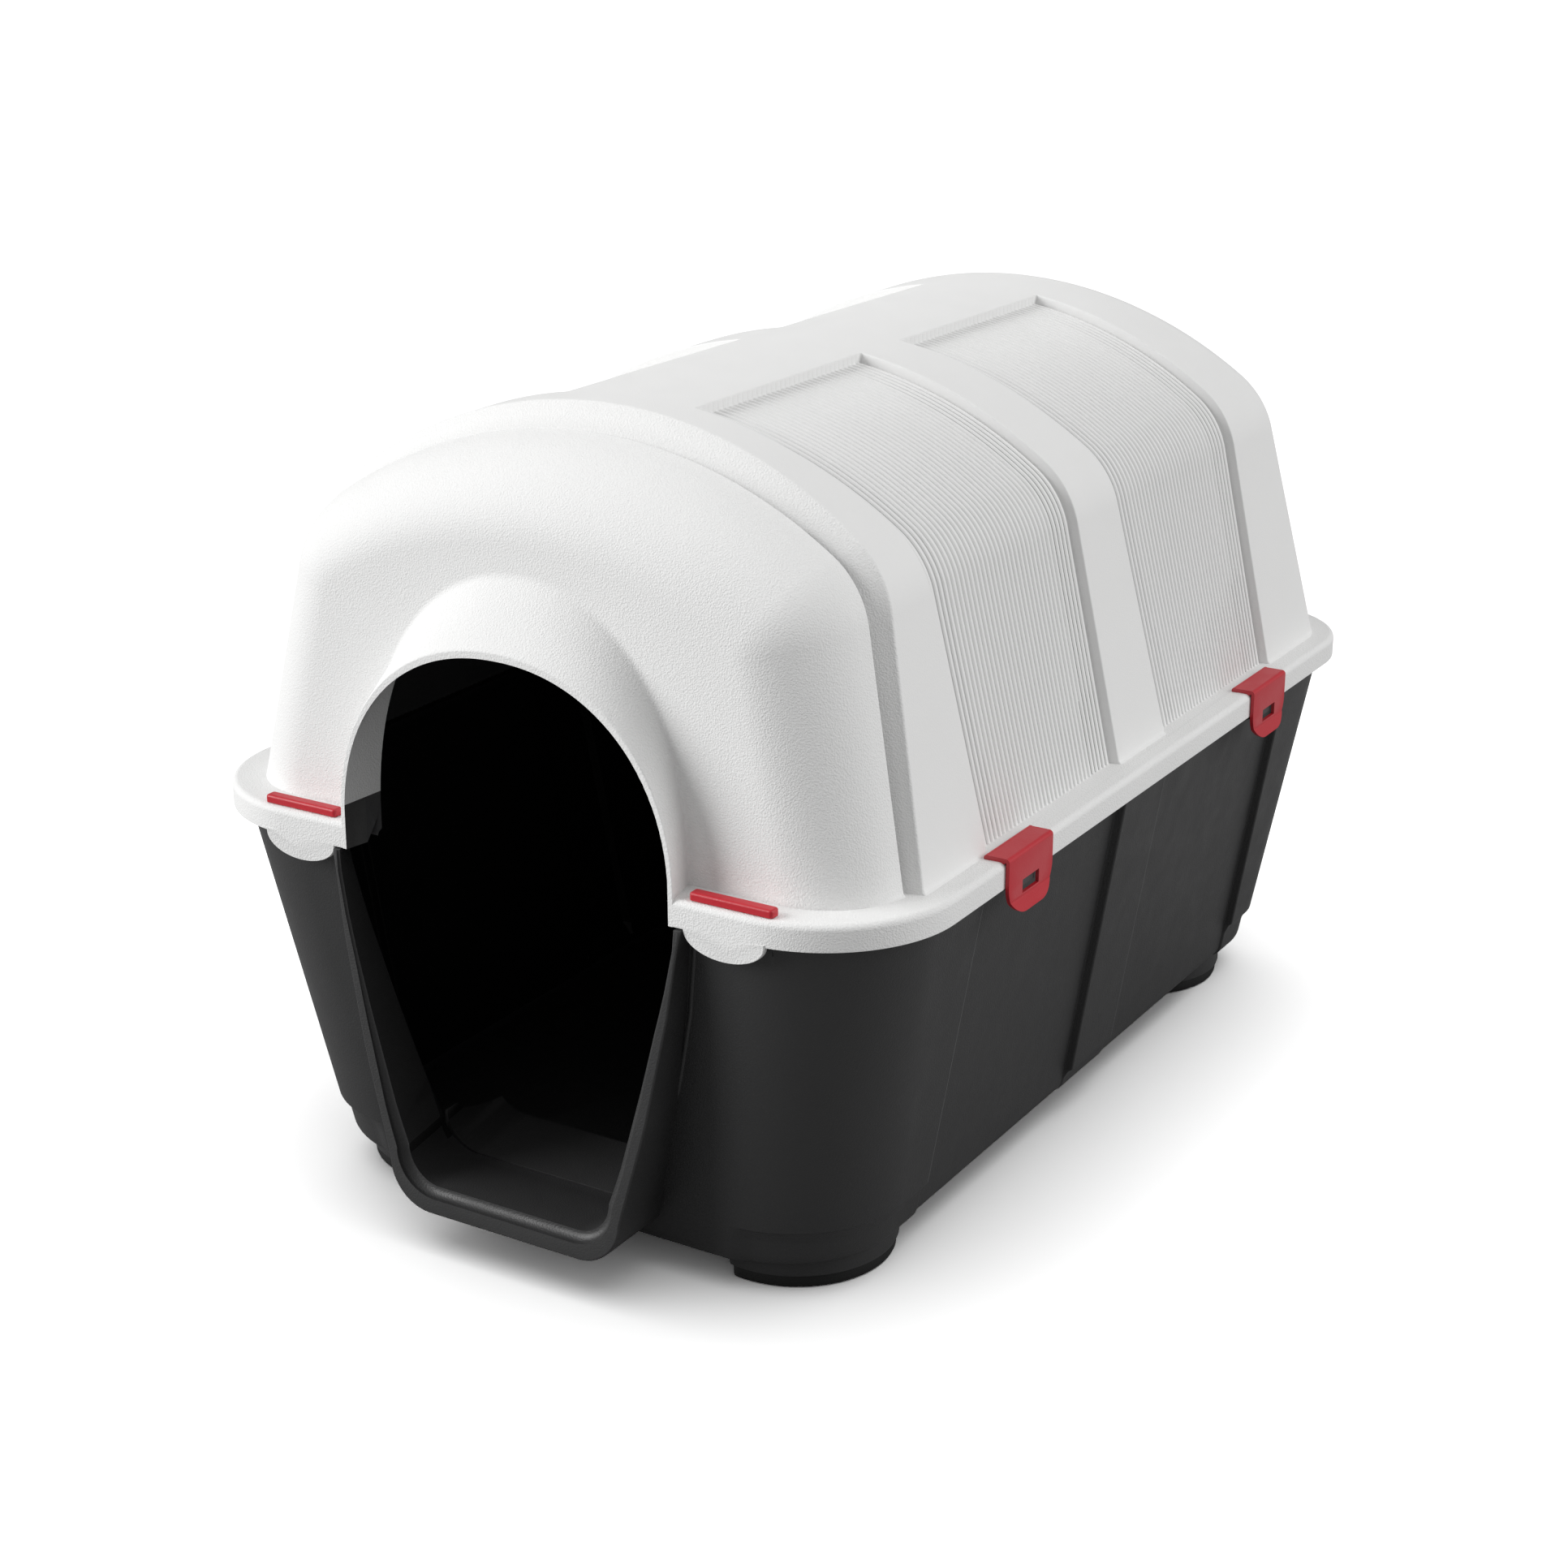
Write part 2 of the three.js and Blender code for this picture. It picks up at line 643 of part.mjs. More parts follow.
// Half-ellipse arch with straight legs down to bottom, across the door at y.
function hoodRing(halfWidth, rise, y, bottom) {
  const exponent = 2 / HOOD.fullness;
  const points = Array.from({ length: 25 }, (_, i) => {
    const angle = (Math.PI * i) / 24;
    const across = Math.sign(Math.cos(angle)) * Math.abs(Math.cos(angle)) ** exponent;
    return [halfWidth * across, rise * Math.abs(Math.sin(angle)) ** exponent];
  });
  const outline = [[halfWidth, bottom - flangeTop], ...points, [-halfWidth, bottom - flangeTop]];
  return outline.map(([x, z]) => new THREE.Vector3(x, y, flangeTop + z));
}

function hoodLoft(sideInset, topInset, from, to, bottom) {
  const at = (depth) => {
    const share = depth / HOOD.depth;
    return hoodRing(
      flangeHalf - THREE.MathUtils.lerp(HOOD.front.fromSide, HOOD.back.fromSide, share) - sideInset,
      THREE.MathUtils.lerp(HOOD.front.rise, HOOD.back.rise, share) - topInset,
      fromFront(depth),
      bottom);
  };
  return loft([at(from), at(to)]);
}

function tab(sign) {
  const shape = new THREE.Shape();
  shape.moveTo(-TAB.halfWidth, 2);
  shape.lineTo(-TAB.halfWidth, 0);
  shape.absellipse(0, 0, TAB.halfWidth, TAB.drop, Math.PI, 2 * Math.PI, false);
  shape.lineTo(TAB.halfWidth, 2);
  const geometry = new THREE.ExtrudeGeometry(
    shape, { depth: FLANGE.thickness, bevelEnabled: false, curveSegments: 14 });
  geometry.rotateX(Math.PI / 2);
  geometry.translate(sign * tabCentre, flangeFront + FLANGE.thickness, skirtBottom);
  return toManifold(geometry);
}

function pivotGroove(sign, y) {
  const radius = CLIP.barrel + SLIDE_GAP;
  const geometry = new THREE.CylinderGeometry(radius, radius, CLIP.width + 2 * SLIDE_GAP, 20);
  geometry.translate(sign * pivotX, y, pivotZ);
  return toManifold(geometry);
}

function makeRoof() {
  const round = FLANGE.edgeRound;
  const lid = loft([
    flangeRing(0, skirtBottom),
    flangeRing(0, flangeTop - round),
    flangeRing(round * 0.13, flangeTop - round * 0.5),
    flangeRing(round * 0.5, flangeTop - round * 0.13),
    flangeRing(round, flangeTop),
  ]);
  const lidHollow = loft([
    flangeRing(FLANGE.thickness, skirtBottom - OVERCUT),
    flangeRing(FLANGE.thickness, flangeUnderside),
  ]);
  const half = KEY.bladeWidth / 2 + SLIDE_GAP;
  const [front, rear] = [keyBladeFront - SLIDE_GAP, keyBladeRear + SLIDE_GAP];
  const keySlots = bothSides((sign) => sign * keyCentre).map((x) =>
    box(x - half, x + half, front, rear, flangeUnderside - OVERCUT, flangeTop + OVERCUT));
  const grooves = bothSides((sign) => clipPlaces.map((y) => pivotGroove(sign, y))).flat();
  const cutBottom = skirtBottom - OVERCUT;
  return roofBody(0, flangeUnderside - flangeTop)
    .add(lid)
    .subtract(lidHollow)
    .add(hoodLoft(0, 0, 0, HOOD.rootDepth, skirtBottom))
    .subtract(roofBody(ROOF.wall, cutBottom - flangeTop))
    .subtract(hoodLoft(HOOD.sideWall, HOOD.topWall, -OVERCUT, HOOD.rootDepth, cutBottom))
    .add(unite(bothSides(tab)))
    .subtract(unite([...keySlots, ...grooves]));
}

// ---------------------------------------------------------------- clips, keys and feet

// A side clip lying closed on the right-hand side, about the pivot line at x = pivotX.
function clipGeometry(sign, y) {
  const plateBottom = flangeTop + SEAT_GAP;
  const plateTop = plateBottom + CLIP.plate;
  const inner = flangeHalf + SLIDE_GAP;
  const outer = inner + CLIP.plate;
  const foot = flangeTop - CLIP.drop;
  const half = CLIP.width / 2;
  const bend = CLIP.bendRadius;
  const [tipRise, slopeRise, faceRise] = CLIP.lipRise;
  const profile = new THREE.Shape([
    ...arc(pivotX, pivotZ, CLIP.barrel, 60, 330, 9),
    new THREE.Vector2(pivotX + CLIP.barrel + 1, plateBottom),
    new THREE.Vector2(inner, plateBottom),
    new THREE.Vector2(inner, foot + CLIP.lipInner),
    new THREE.Vector2(inner + CLIP.lipOut, foot),
    new THREE.Vector2(outer + CLIP.lipOut, foot),
    new THREE.Vector2(outer + CLIP.lipOut * 0.6, foot + tipRise),
    new THREE.Vector2(outer + CLIP.lipOut * 0.15, foot + slopeRise),
    new THREE.Vector2(outer, foot + faceRise),
    ...arc(outer - bend, plateTop - bend, bend, 0, 90, 3),
  ]);
  const body = new THREE.ExtrudeGeometry(profile, { depth: CLIP.width, bevelEnabled: false });
  body.rotateX(Math.PI / 2).translate(0, half, 0);

  // seen from the side: round lower corners
  const corner = CLIP.cornerRadius;
  const outlineShape = new THREE.Shape([
    ...arc(half - corner, foot + corner, corner, -90, 0, 6),
    new THREE.Vector2(half, plateTop + OVERCUT),
    new THREE.Vector2(-half, plateTop + OVERCUT),
    ...arc(corner - half, foot + corner, corner, 180, 270, 6),
  ]);
  const reach = CLIP.pivotInset + CLIP.barrel + CLIP.plate + CLIP.lipOut + 2 * OVERCUT;
  const outline = new THREE.ExtrudeGeometry(outlineShape, { depth: reach, bevelEnabled: false });
  outline.rotateX(Math.PI / 2).rotateZ(Math.PI / 2).translate(pivotX - CLIP.barrel - OVERCUT, 0, 0);

  const windowTop = flangeTop - CLIP.windowTop;
  const windowHalf = CLIP.windowWidth / 2;
  const window = box(
    inner - OVERCUT, outer + OVERCUT, -windowHalf, windowHalf, windowTop - CLIP.windowHeight, windowTop);
  const geometry = toGeometry(toManifold(body).intersect(toManifold(outline)).subtract(window));
  if (sign < 0) geometry.rotateZ(Math.PI);
  return geometry.translate(0, y, 0);
}

function keyGeometry(sign) {
  const corner = KEY.barCorner;
  const bevel = KEY.barBevel;
  const [halfLength, halfDepth] = [KEY.barLength / 2, KEY.barDepth / 2];
  const barShape = new THREE.Shape([
    ...arc(halfLength - corner, halfDepth - corner, corner, 0, 90, 3),
    ...arc(corner - halfLength, halfDepth - corner, corner, 90, 180, 3),
    ...arc(corner - halfLength, corner - halfDepth, corner, 180, 270, 3),
    ...arc(halfLength - corner, corner - halfDepth, corner, 270, 360, 3),
  ]);
  const bar = new THREE.ExtrudeGeometry(barShape, {
    depth: KEY.barHeight - 2 * bevel,
    bevelThickness: bevel,
    bevelSize: bevel,
    bevelOffset: -bevel,
    bevelSegments: 1,
  });
  const barBottom = flangeTop + SEAT_GAP;
  bar.translate(0, flangeFront + KEY.barSetback + halfDepth, barBottom + bevel);

  const half = KEY.bladeWidth / 2;
  const tip = flangeTop - KEY.bladeLength;
  const top = barBottom + KEY.barHeight / 2;
  const bladeShape = new THREE.Shape([
    new THREE.Vector2(-half, top),
    new THREE.Vector2(-half, tip + KEY.tipChamfer),
    new THREE.Vector2(-half + KEY.tipChamfer, tip),
    new THREE.Vector2(half - KEY.tipChamfer, tip),
    new THREE.Vector2(half, tip + KEY.tipChamfer),
    new THREE.Vector2(half, top),
  ]);
  const blade = new THREE.ExtrudeGeometry(bladeShape, { depth: KEY.bladeThickness, bevelEnabled: false });
  blade.rotateX(Math.PI / 2).translate(0, keyBladeRear, 0);
  return toGeometry(toManifold(bar).add(toManifold(blade))).translate(sign * keyCentre, 0, 0);
}

// ---------------------------------------------------------------- assembly

const finish = {
  tub: { color: 0x2b2b2c, roughness: 0.62 },
  roof: { color: 0xe9e9e6, roughness: 0.55 },
  clip: { color: 0xb81a26, roughness: 0.42 },
  pad: { color: 0x1a1a1b, roughness: 0.85 },
};

function addMesh(group, name, geometry, look) {
  const mesh = new THREE.Mesh(geometry, new THREE.MeshStandardMaterial({ ...look, metalness: 0 }));
  mesh.name = name;
  group.add(mesh);
}

const house = new THREE.Group();
house.name = "dog_house";

addMesh(house, "base_tub", toGeometry(makeTub()), finish.tub);
addMesh(house, "roof_shell", toGeometry(makeRoof()), finish.roof);

for (const [sign, side] of [[1, "right"], [-1, "left"]]) {
  clipPlaces.forEach((y, i) => {
    const end = ["front", "rear"][i];
    addMesh(house, `side_clip_${side}_${end}`, clipGeometry(sign, y), finish.clip);
  });
  addMesh(house, `door_key_${side}`, keyGeometry(sign), finish.clip);
}

for (const { x, y, end } of footPlaces) {
  const side = x > 0 ? "right" : "left";
  const pad = disc(FOOT.legRadius - FOOT.padInset, 0, FOOT.padHeight, x, y);
  addMesh(house, `foot_pad_${side}_${end}`, toGeometry(toManifold(pad)), finish.pad);
}

export default house;
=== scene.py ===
# Looks of an outdoor dog house: charcoal tub, off-white arched roof, red clips and keys.
# Shapes are worked out in millimetres in the CAD frame and turned into metres as meshes are made.

import math

import bpy
import numpy as np
from mathutils import Matrix, Vector
from mathutils.bvhtree import BVHTree


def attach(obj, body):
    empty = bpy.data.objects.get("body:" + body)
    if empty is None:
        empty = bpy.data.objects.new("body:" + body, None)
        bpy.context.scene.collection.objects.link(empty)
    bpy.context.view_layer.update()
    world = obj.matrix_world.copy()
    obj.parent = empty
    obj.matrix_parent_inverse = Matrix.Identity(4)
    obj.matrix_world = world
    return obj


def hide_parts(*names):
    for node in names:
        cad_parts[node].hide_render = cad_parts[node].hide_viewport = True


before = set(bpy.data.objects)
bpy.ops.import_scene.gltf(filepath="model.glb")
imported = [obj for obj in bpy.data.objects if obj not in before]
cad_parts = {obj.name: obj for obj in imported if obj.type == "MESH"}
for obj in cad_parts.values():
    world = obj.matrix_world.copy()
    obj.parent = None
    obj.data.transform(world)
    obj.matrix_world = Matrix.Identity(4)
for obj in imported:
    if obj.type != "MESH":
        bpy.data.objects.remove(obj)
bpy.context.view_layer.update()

MM = 0.001

# ---------------------------------------------------------------- sizes
# Mostly as in the CAD source, in millimetres. Notes mark those that are only in this script.

SEAT_GAP = 0.3
SLIDE_GAP = 0.5
OVERCUT = 5.0
LINING_REACH = 0.02  # a face this near to a cavity's surface was cut by it

FLANGE_HALF = 282.0
FLANGE_LENGTH = 825.0
FLANGE_FRONT = -405.5
FLANGE_REAR = FLANGE_FRONT + FLANGE_LENGTH
FLANGE_FRONT_RADIUS = 95.0
FLANGE_REAR_RADIUS = 84.0
FLANGE_THICKNESS = 3.5
FLANGE_EDGE_ROUND = 4.5
FLANGE_TOP = 300.0
FLANGE_UNDERSIDE = FLANGE_TOP - FLANGE_THICKNESS
SKIRT_BOTTOM = 281.7
RIM_TOP = 296.2
FLOOR_UNDERSIDE = 23.0

TUB = dict(wall=4.0, floor=4.0, side=12.0, front=9.0, rear=10.0, front_radius=88.0, rear_radius=75.0,
           side_taper=45.0, front_taper=37.0, rear_taper=25.0, front_loss=4.0, rear_loss=10.0,
           lip=3.5, lip_height=5.0, bottom_round=10.0)
FIELD = dict(depth=6.5, front=164.0, rear=137.0, mullion=70.0, offset=6.5, rake=12.0, headroom=8.0)
BOOT = dict(corner=56.0, mullion=45.0, inner=35.0, corner_tuck=4.5, mullion_tuck=5.5)

CORNER_FADE = 10.0  # degrees from the front or rear wall over which a corner's tuck sets in

COLLAR_REACH = 14.0
COLLAR_TOP_REACH = 2.0
COLLAR_OUTER = [(19.3, 139.5), (80, 131), (160, 115), (228, 97)]
COLLAR_INNER = [(19.3, 136), (67, 127), (133, 110.5), (200, 92), (222, 84)]
COLLAR_OUTER_BOTTOM, COLLAR_OUTER_CORNER = 268.0, 34.0
COLLAR_INNER_BOTTOM, COLLAR_INNER_CORNER = 250.0, 26.0
COLLAR_SPREAD = 1.22
SILL_BACK = FLANGE_FRONT - COLLAR_REACH + 128.0

ARCH = dict(ledge=18.5, rise=277.5, crown=335.0, knuckle=72.0, lean=12.6)
DOME = dict(ledge=28.5, rise=261.5, crown=345.0, knuckle=66.0, lean=12.6)
ROOF_WALL = 3.5
RIDGE_HALF = 51.0
PANEL_DEPTH = 8.0
PANEL_DRAFT = 1.5
RIBS = 35
RIB_HEIGHT = 1.9  # judged from the shading, not measured
RIB_SHADE = 0.06  # only here: how far from a valley's middle its painted shade reaches, as a share of the pitch
# only here: place along one rib and share of its height, from the middle of its valley
RIB_PROFILE = [(0.0, -0.35), (0.07, -0.2), (0.14, 0.5), (0.28, 0.9),
               (0.5, 1.0), (0.72, 0.9), (0.86, 0.5), (0.93, -0.2)]
# places as distances from the flange's front edge, at the flange and at the crown
DOME_FACE = (27.0, 32.0)
DOME_BACK = (84.0, 112.0)
BAND_EDGE = (88.0, 126.0)
PANELS = [((174.0, 158.0), (379.0, 376.0)), ((459.0, 433.0), (660.0, 658.0))]
REAR_START = (742.0, 718.0)
REAR_FACE = (797.0, 756.0)
DOME_ROUND = 58.0
# only here, at the dome's rear edge: its width reads as 2 to 3.5 mm in the photo, and its depths and
# the wall behind it are judged
CREVICE = dict(depth=4.5, width=3.0, crown=1.4, wall=2.2)
CREVICE_DARK_TOP = 215.0  # height over the flange up to which the photo shows it dark
REAR_ROUND = 46.0

HOOD_FRONT = (133.0, 139.5)  # half-width and rise
HOOD_BACK = (127.0, 181.5)
HOOD_DEPTH = 31.0
HOOD_SIDE_WALL = 3.5
HOOD_TOP_WALL = 5.0
HOOD_FULLNESS = 2.15

TAB = dict(centre=170.0, half=30.0, drop=15.7)
# corner is judged from the photo, and larger than the CAD's
CLIP = dict(width=64.0, plate=2.6, drop=38.5, corner=21.0, lip=3.4, window=24.0, window_top=17.5,
            window_height=9.5, barrel=2.2)
CLIP_PLACES = (-209.5, 204.5)
PIVOT_X = FLANGE_HALF - 13.5
PIVOT_Z = FLANGE_TOP + 1.0
KEY = dict(centre=172.5, length=61.0, depth=9.0, height=5.6, setback=4.5, blade=44.0, blade_thick=2.0,
           blade_length=24.0, tip_gap=1.0, pocket_floor=3.0)
KEY_BLADE_REAR = FLANGE_FRONT + KEY["setback"] + KEY["depth"] + 0.4
KEY_BLADE_FRONT = KEY_BLADE_REAR - KEY["blade_thick"]
SLOT_BOTTOM = FLANGE_TOP - KEY["blade_length"] - KEY["tip_gap"]
KEY_CORNER = 2.4
KEY_EDGE_ROUND = 1.9
POCKET = dict(side=4.0, front=2.0, rear=4.5)  # wall round a key's slot in the tub
NOSE = dict(half=11.5, tip_gap=0.2, below=0.9, root=3.0)
# only here: ridge beside each arm of the door collar
BEAD = dict(top=278.0, bottom=90.0, width=1.9, height=1.5)
BEAD_PATH = [(142, 268), (133, 215), (119, 160), (106, 120), (98, 92)]  # x and z
FOOT = dict(leg=71.0, pad=69.0, pad_height=9.7)
FOOT_PLACES = {"front": (143.0, -269.5), "rear": (143.0, 294.5)}
# only here: the front right foot ends at this x in the photo, by two points; that its end is flat and
# that the other feet are the same are guesses
FOOT_INNER_X = 131.0

# ---------------------------------------------------------------- mesh tools


def add_object(name, vertices, faces):
    mesh = bpy.data.meshes.new(name)
    mesh.from_pydata((np.asarray(vertices, float) * MM).tolist(), [], faces)
    mesh.update()
    piece = bpy.data.objects.new(name, mesh)
    bpy.context.scene.collection.objects.link(piece)
    return piece


def loft(name, rings):
    """A closed solid through rings of equally many points, with a fan over each end."""
    rings = np.asarray(rings, float)
    rows, count = rings.shape[:2]
    vertices = np.vstack([rings.reshape(-1, 3), rings[0].mean(0), rings[-1].mean(0)])
    here = np.arange(rows - 1)[:, None] * count + np.arange(count)
    beside = np.arange(rows - 1)[:, None] * count + (np.arange(count) + 1) % count
    quads = np.stack([here, beside, beside + count, here + count], -1).reshape(-1, 4)
    first, last = rows * count, rows * count + 1
    end = (rows - 1) * count
    faces = quads.tolist()
    for i in range(count):
        j = (i + 1) % count
        faces.append([first, j, i])
        faces.append([last, end + i, end + j])
    p = vertices[np.array([f[:3] for f in faces])]
    volume = np.einsum("ij,ij->i", p[:, 0], np.cross(p[:, 1], p[:, 2])).sum()
    if volume < 0:
        faces = [f[::-1] for f in faces]
    return add_object(name, vertices, faces)


def prism(name, outline, low, high, axis):
    """outline: points in the plane across axis, in the order of the other two axes."""
    outline = np.asarray(outline, float)
    rings = []
    for level in (low, high):
        ring = np.insert(outline, axis, level, axis=1)
        rings.append(ring)
    return loft(name, rings)


def boolean(piece, operation, *others):
    for other in others:
        step = piece.modifiers.new("join", "BOOLEAN")
        step.solver = "MANIFOLD"
        step.operation = operation
        step.object = other
    graph = bpy.context.evaluated_depsgraph_get()
    graph.update()
    mesh = bpy.data.meshes.new_from_object(piece.evaluated_get(graph))
    piece.modifiers.clear()
    old = piece.data
    piece.data = mesh
    bpy.data.meshes.remove(old)
    for other in others:
        bpy.data.objects.remove(other)
    return piece


def arc(cx, cy, radius, start, stop, steps):
    angle = np.radians(np.linspace(start, stop, steps + 1))
    return np.stack([cx + radius * np.cos(angle), cy + radius * np.sin(angle)], -1)


def tree_of(piece):
    return BVHTree.FromPolygons([v.co.copy() for v in piece.data.vertices],
                                [tuple(p.vertices) for p in piece.data.polygons])


def smooth(piece, angle=30.0):
    piece.data.shade_smooth()
    piece.data.set_sharp_from_angle(angle=math.radians(angle))
    normals = piece.modifiers.new("normals", "WEIGHTED_NORMAL")
    normals.keep_sharp = True
    normals.weight = 50


def rounded_edge(depth, top_radius, foot_radius, draft, steps=4):
    """Cross-section of a recess's edge: (distance into the recess, depth), both ends rounded."""
    lean = math.atan2(draft, depth)
    turn = math.pi / 2 - lean
    points = []
    for i in range(steps + 1):
        a = turn * i / steps
        points.append((-top_radius * math.tan(turn / 2) + top_radius * math.sin(a),
                       top_radius * (1 - math.cos(a))))
    for i in range(steps + 1):
        a = turn * (1 - i / steps)
        points.append((draft + foot_radius * math.tan(turn / 2) - foot_radius * math.sin(a),
                       depth - foot_radius * (1 - math.cos(a))))
    return points


# ---------------------------------------------------------------- roof


def arch_half(arch, widen=0.0, bottom=-FLANGE_THICKNESS):
    """Right half of an arch: x, height over the flange, normal, and the share of the panel's recess."""
    rise, crown, knuckle = arch["rise"], arch["crown"], arch["knuckle"]
    half_base = FLANGE_HALF - arch["ledge"]
    tilt = math.radians(arch["lean"])
    centre = rise - crown
    turn = (half_base * math.cos(tilt) - knuckle - math.sin(tilt) * centre) / (crown - knuckle)
    crown_end = math.asin(turn) - tilt
    kx = (crown - knuckle) * math.sin(crown_end)
    kz = centre + (crown - knuckle) * math.cos(crown_end)
    wall_end = math.pi / 2 - tilt
    rows = []
    tangent = kz + knuckle * math.cos(wall_end)
    foot_round = 0 if widen else 2.6
    for z in [bottom, 0.0, 0.5, 1.2, 2.0, *np.linspace(4, tangent, 11)[:-1]]:
        flare = foot_round * (1 - math.sqrt(1 - (1 - min(max(z, 0.15) / 2.6, 1)) ** 2))
        rows.append((half_base + flare - z * math.tan(tilt), z, math.cos(tilt), math.sin(tilt), 1.0))
    for a in np.linspace(wall_end, crown_end, 23)[:-1]:
        rows.append((kx + knuckle * math.sin(a), kz + knuckle * math.cos(a), math.sin(a), math.cos(a), 1.0))
    edge = rounded_edge(PANEL_DEPTH, 1.2, 0.8, PANEL_DRAFT)
    reach = RIDGE_HALF - widen
    foot = math.asin((reach + edge[-1][0]) / crown)
    for a in np.linspace(crown_end, foot, 25)[:-1]:
        rows.append((crown * math.sin(a), centre + crown * math.cos(a), math.sin(a), math.cos(a), 1.0))
    for offset, depth in edge[::-1]:
        a = math.asin((reach + offset) / crown)
        rows.append((crown * math.sin(a), centre + crown * math.cos(a), math.sin(a), math.cos(a),
                     depth / PANEL_DEPTH))
    top = math.asin((reach + edge[0][0]) / crown)
    for a in np.linspace(top, 0, 7)[1:]:
        rows.append((crown * math.sin(a), centre + crown * math.cos(a), math.sin(a), math.cos(a), 0.0))
    return np.array(rows)


def crevice_depth(profile):
    """The crevice is deep down the sides and fades towards the crown."""
    share = np.clip((np.abs(profile[:, 2]) - 0.25) / 0.5, 0, 1)
    share = share * share * (3 - 2 * share)
    return CREVICE["crown"] + (CREVICE["depth"] - CREVICE["crown"]) * share


def whole(half):
    left = half[:-1][::-1] * np.array([-1, 1, -1, 1, 1])
    return np.vstack([half, left])


def arch_ring(profile, rise, place, inset=0.0, recess=0.0, shift=0.0):
    """One section of the roof. place leans from its distance at the flange to that at the crown."""
    moved = inset + recess * profile[:, 4]
    x = profile[:, 0] - moved * profile[:, 2]
    z = profile[:, 1] - moved * profile[:, 3]
    share = np.clip(z / rise, 0, 1)
    y = FLANGE_FRONT + place[0] + (place[1] - place[0]) * share + shift
    return np.stack([x, y, FLANGE_TOP + z], -1)


def blend(a, b, share):
    return tuple(p + (q - p) * share for p, q in zip(a, b))


def nudge(place, by):
    return (place[0] + by, place[1] + by)


def lengths(points):
    steps = np.linalg.norm(np.diff(points, axis=0), axis=1)
    total = np.concatenate([[0], np.cumsum(steps)])
    return total / total[-1]


def hood_ring(half_width, rise, y, bottom, fractions):
    """Half-ellipse arch with straight legs, sampled so that its points face those of the dome."""
    angle = np.linspace(0, math.pi, 721)
    exponent = 2 / HOOD_FULLNESS
    x = half_width * np.sign(np.cos(angle)) * np.abs(np.cos(angle)) ** exponent
    z = rise * np.abs(np.sin(angle)) ** exponent
    fine = np.stack([x, z], -1)
    place = lengths(fine)
    points = np.stack([np.interp(fractions, place, fine[:, 0]), np.interp(fractions, place, fine[:, 1])], -1)
    points[0] = (half_width, bottom)
    points[-1] = (-half_width, bottom)
    y = np.broadcast_to(y, len(points))
    return np.stack([points[:, 0], y, FLANGE_TOP + points[:, 1]], -1)


def fillet(a, corner, b, size, steps=6):
    """Rings that round the corner between three rings by a quadratic curve."""
    def towards(p, q):
        d = q - p
        n = np.linalg.norm(d, axis=1, keepdims=True)
        return p + d / np.maximum(n, 1e-9) * np.minimum(size, n * 0.48)
    start, stop = towards(corner, a), towards(corner, b)
    return [start * (1 - t) ** 2 + corner * 2 * t * (1 - t) + stop * t * t
            for t in np.linspace(0, 1, steps + 1)]


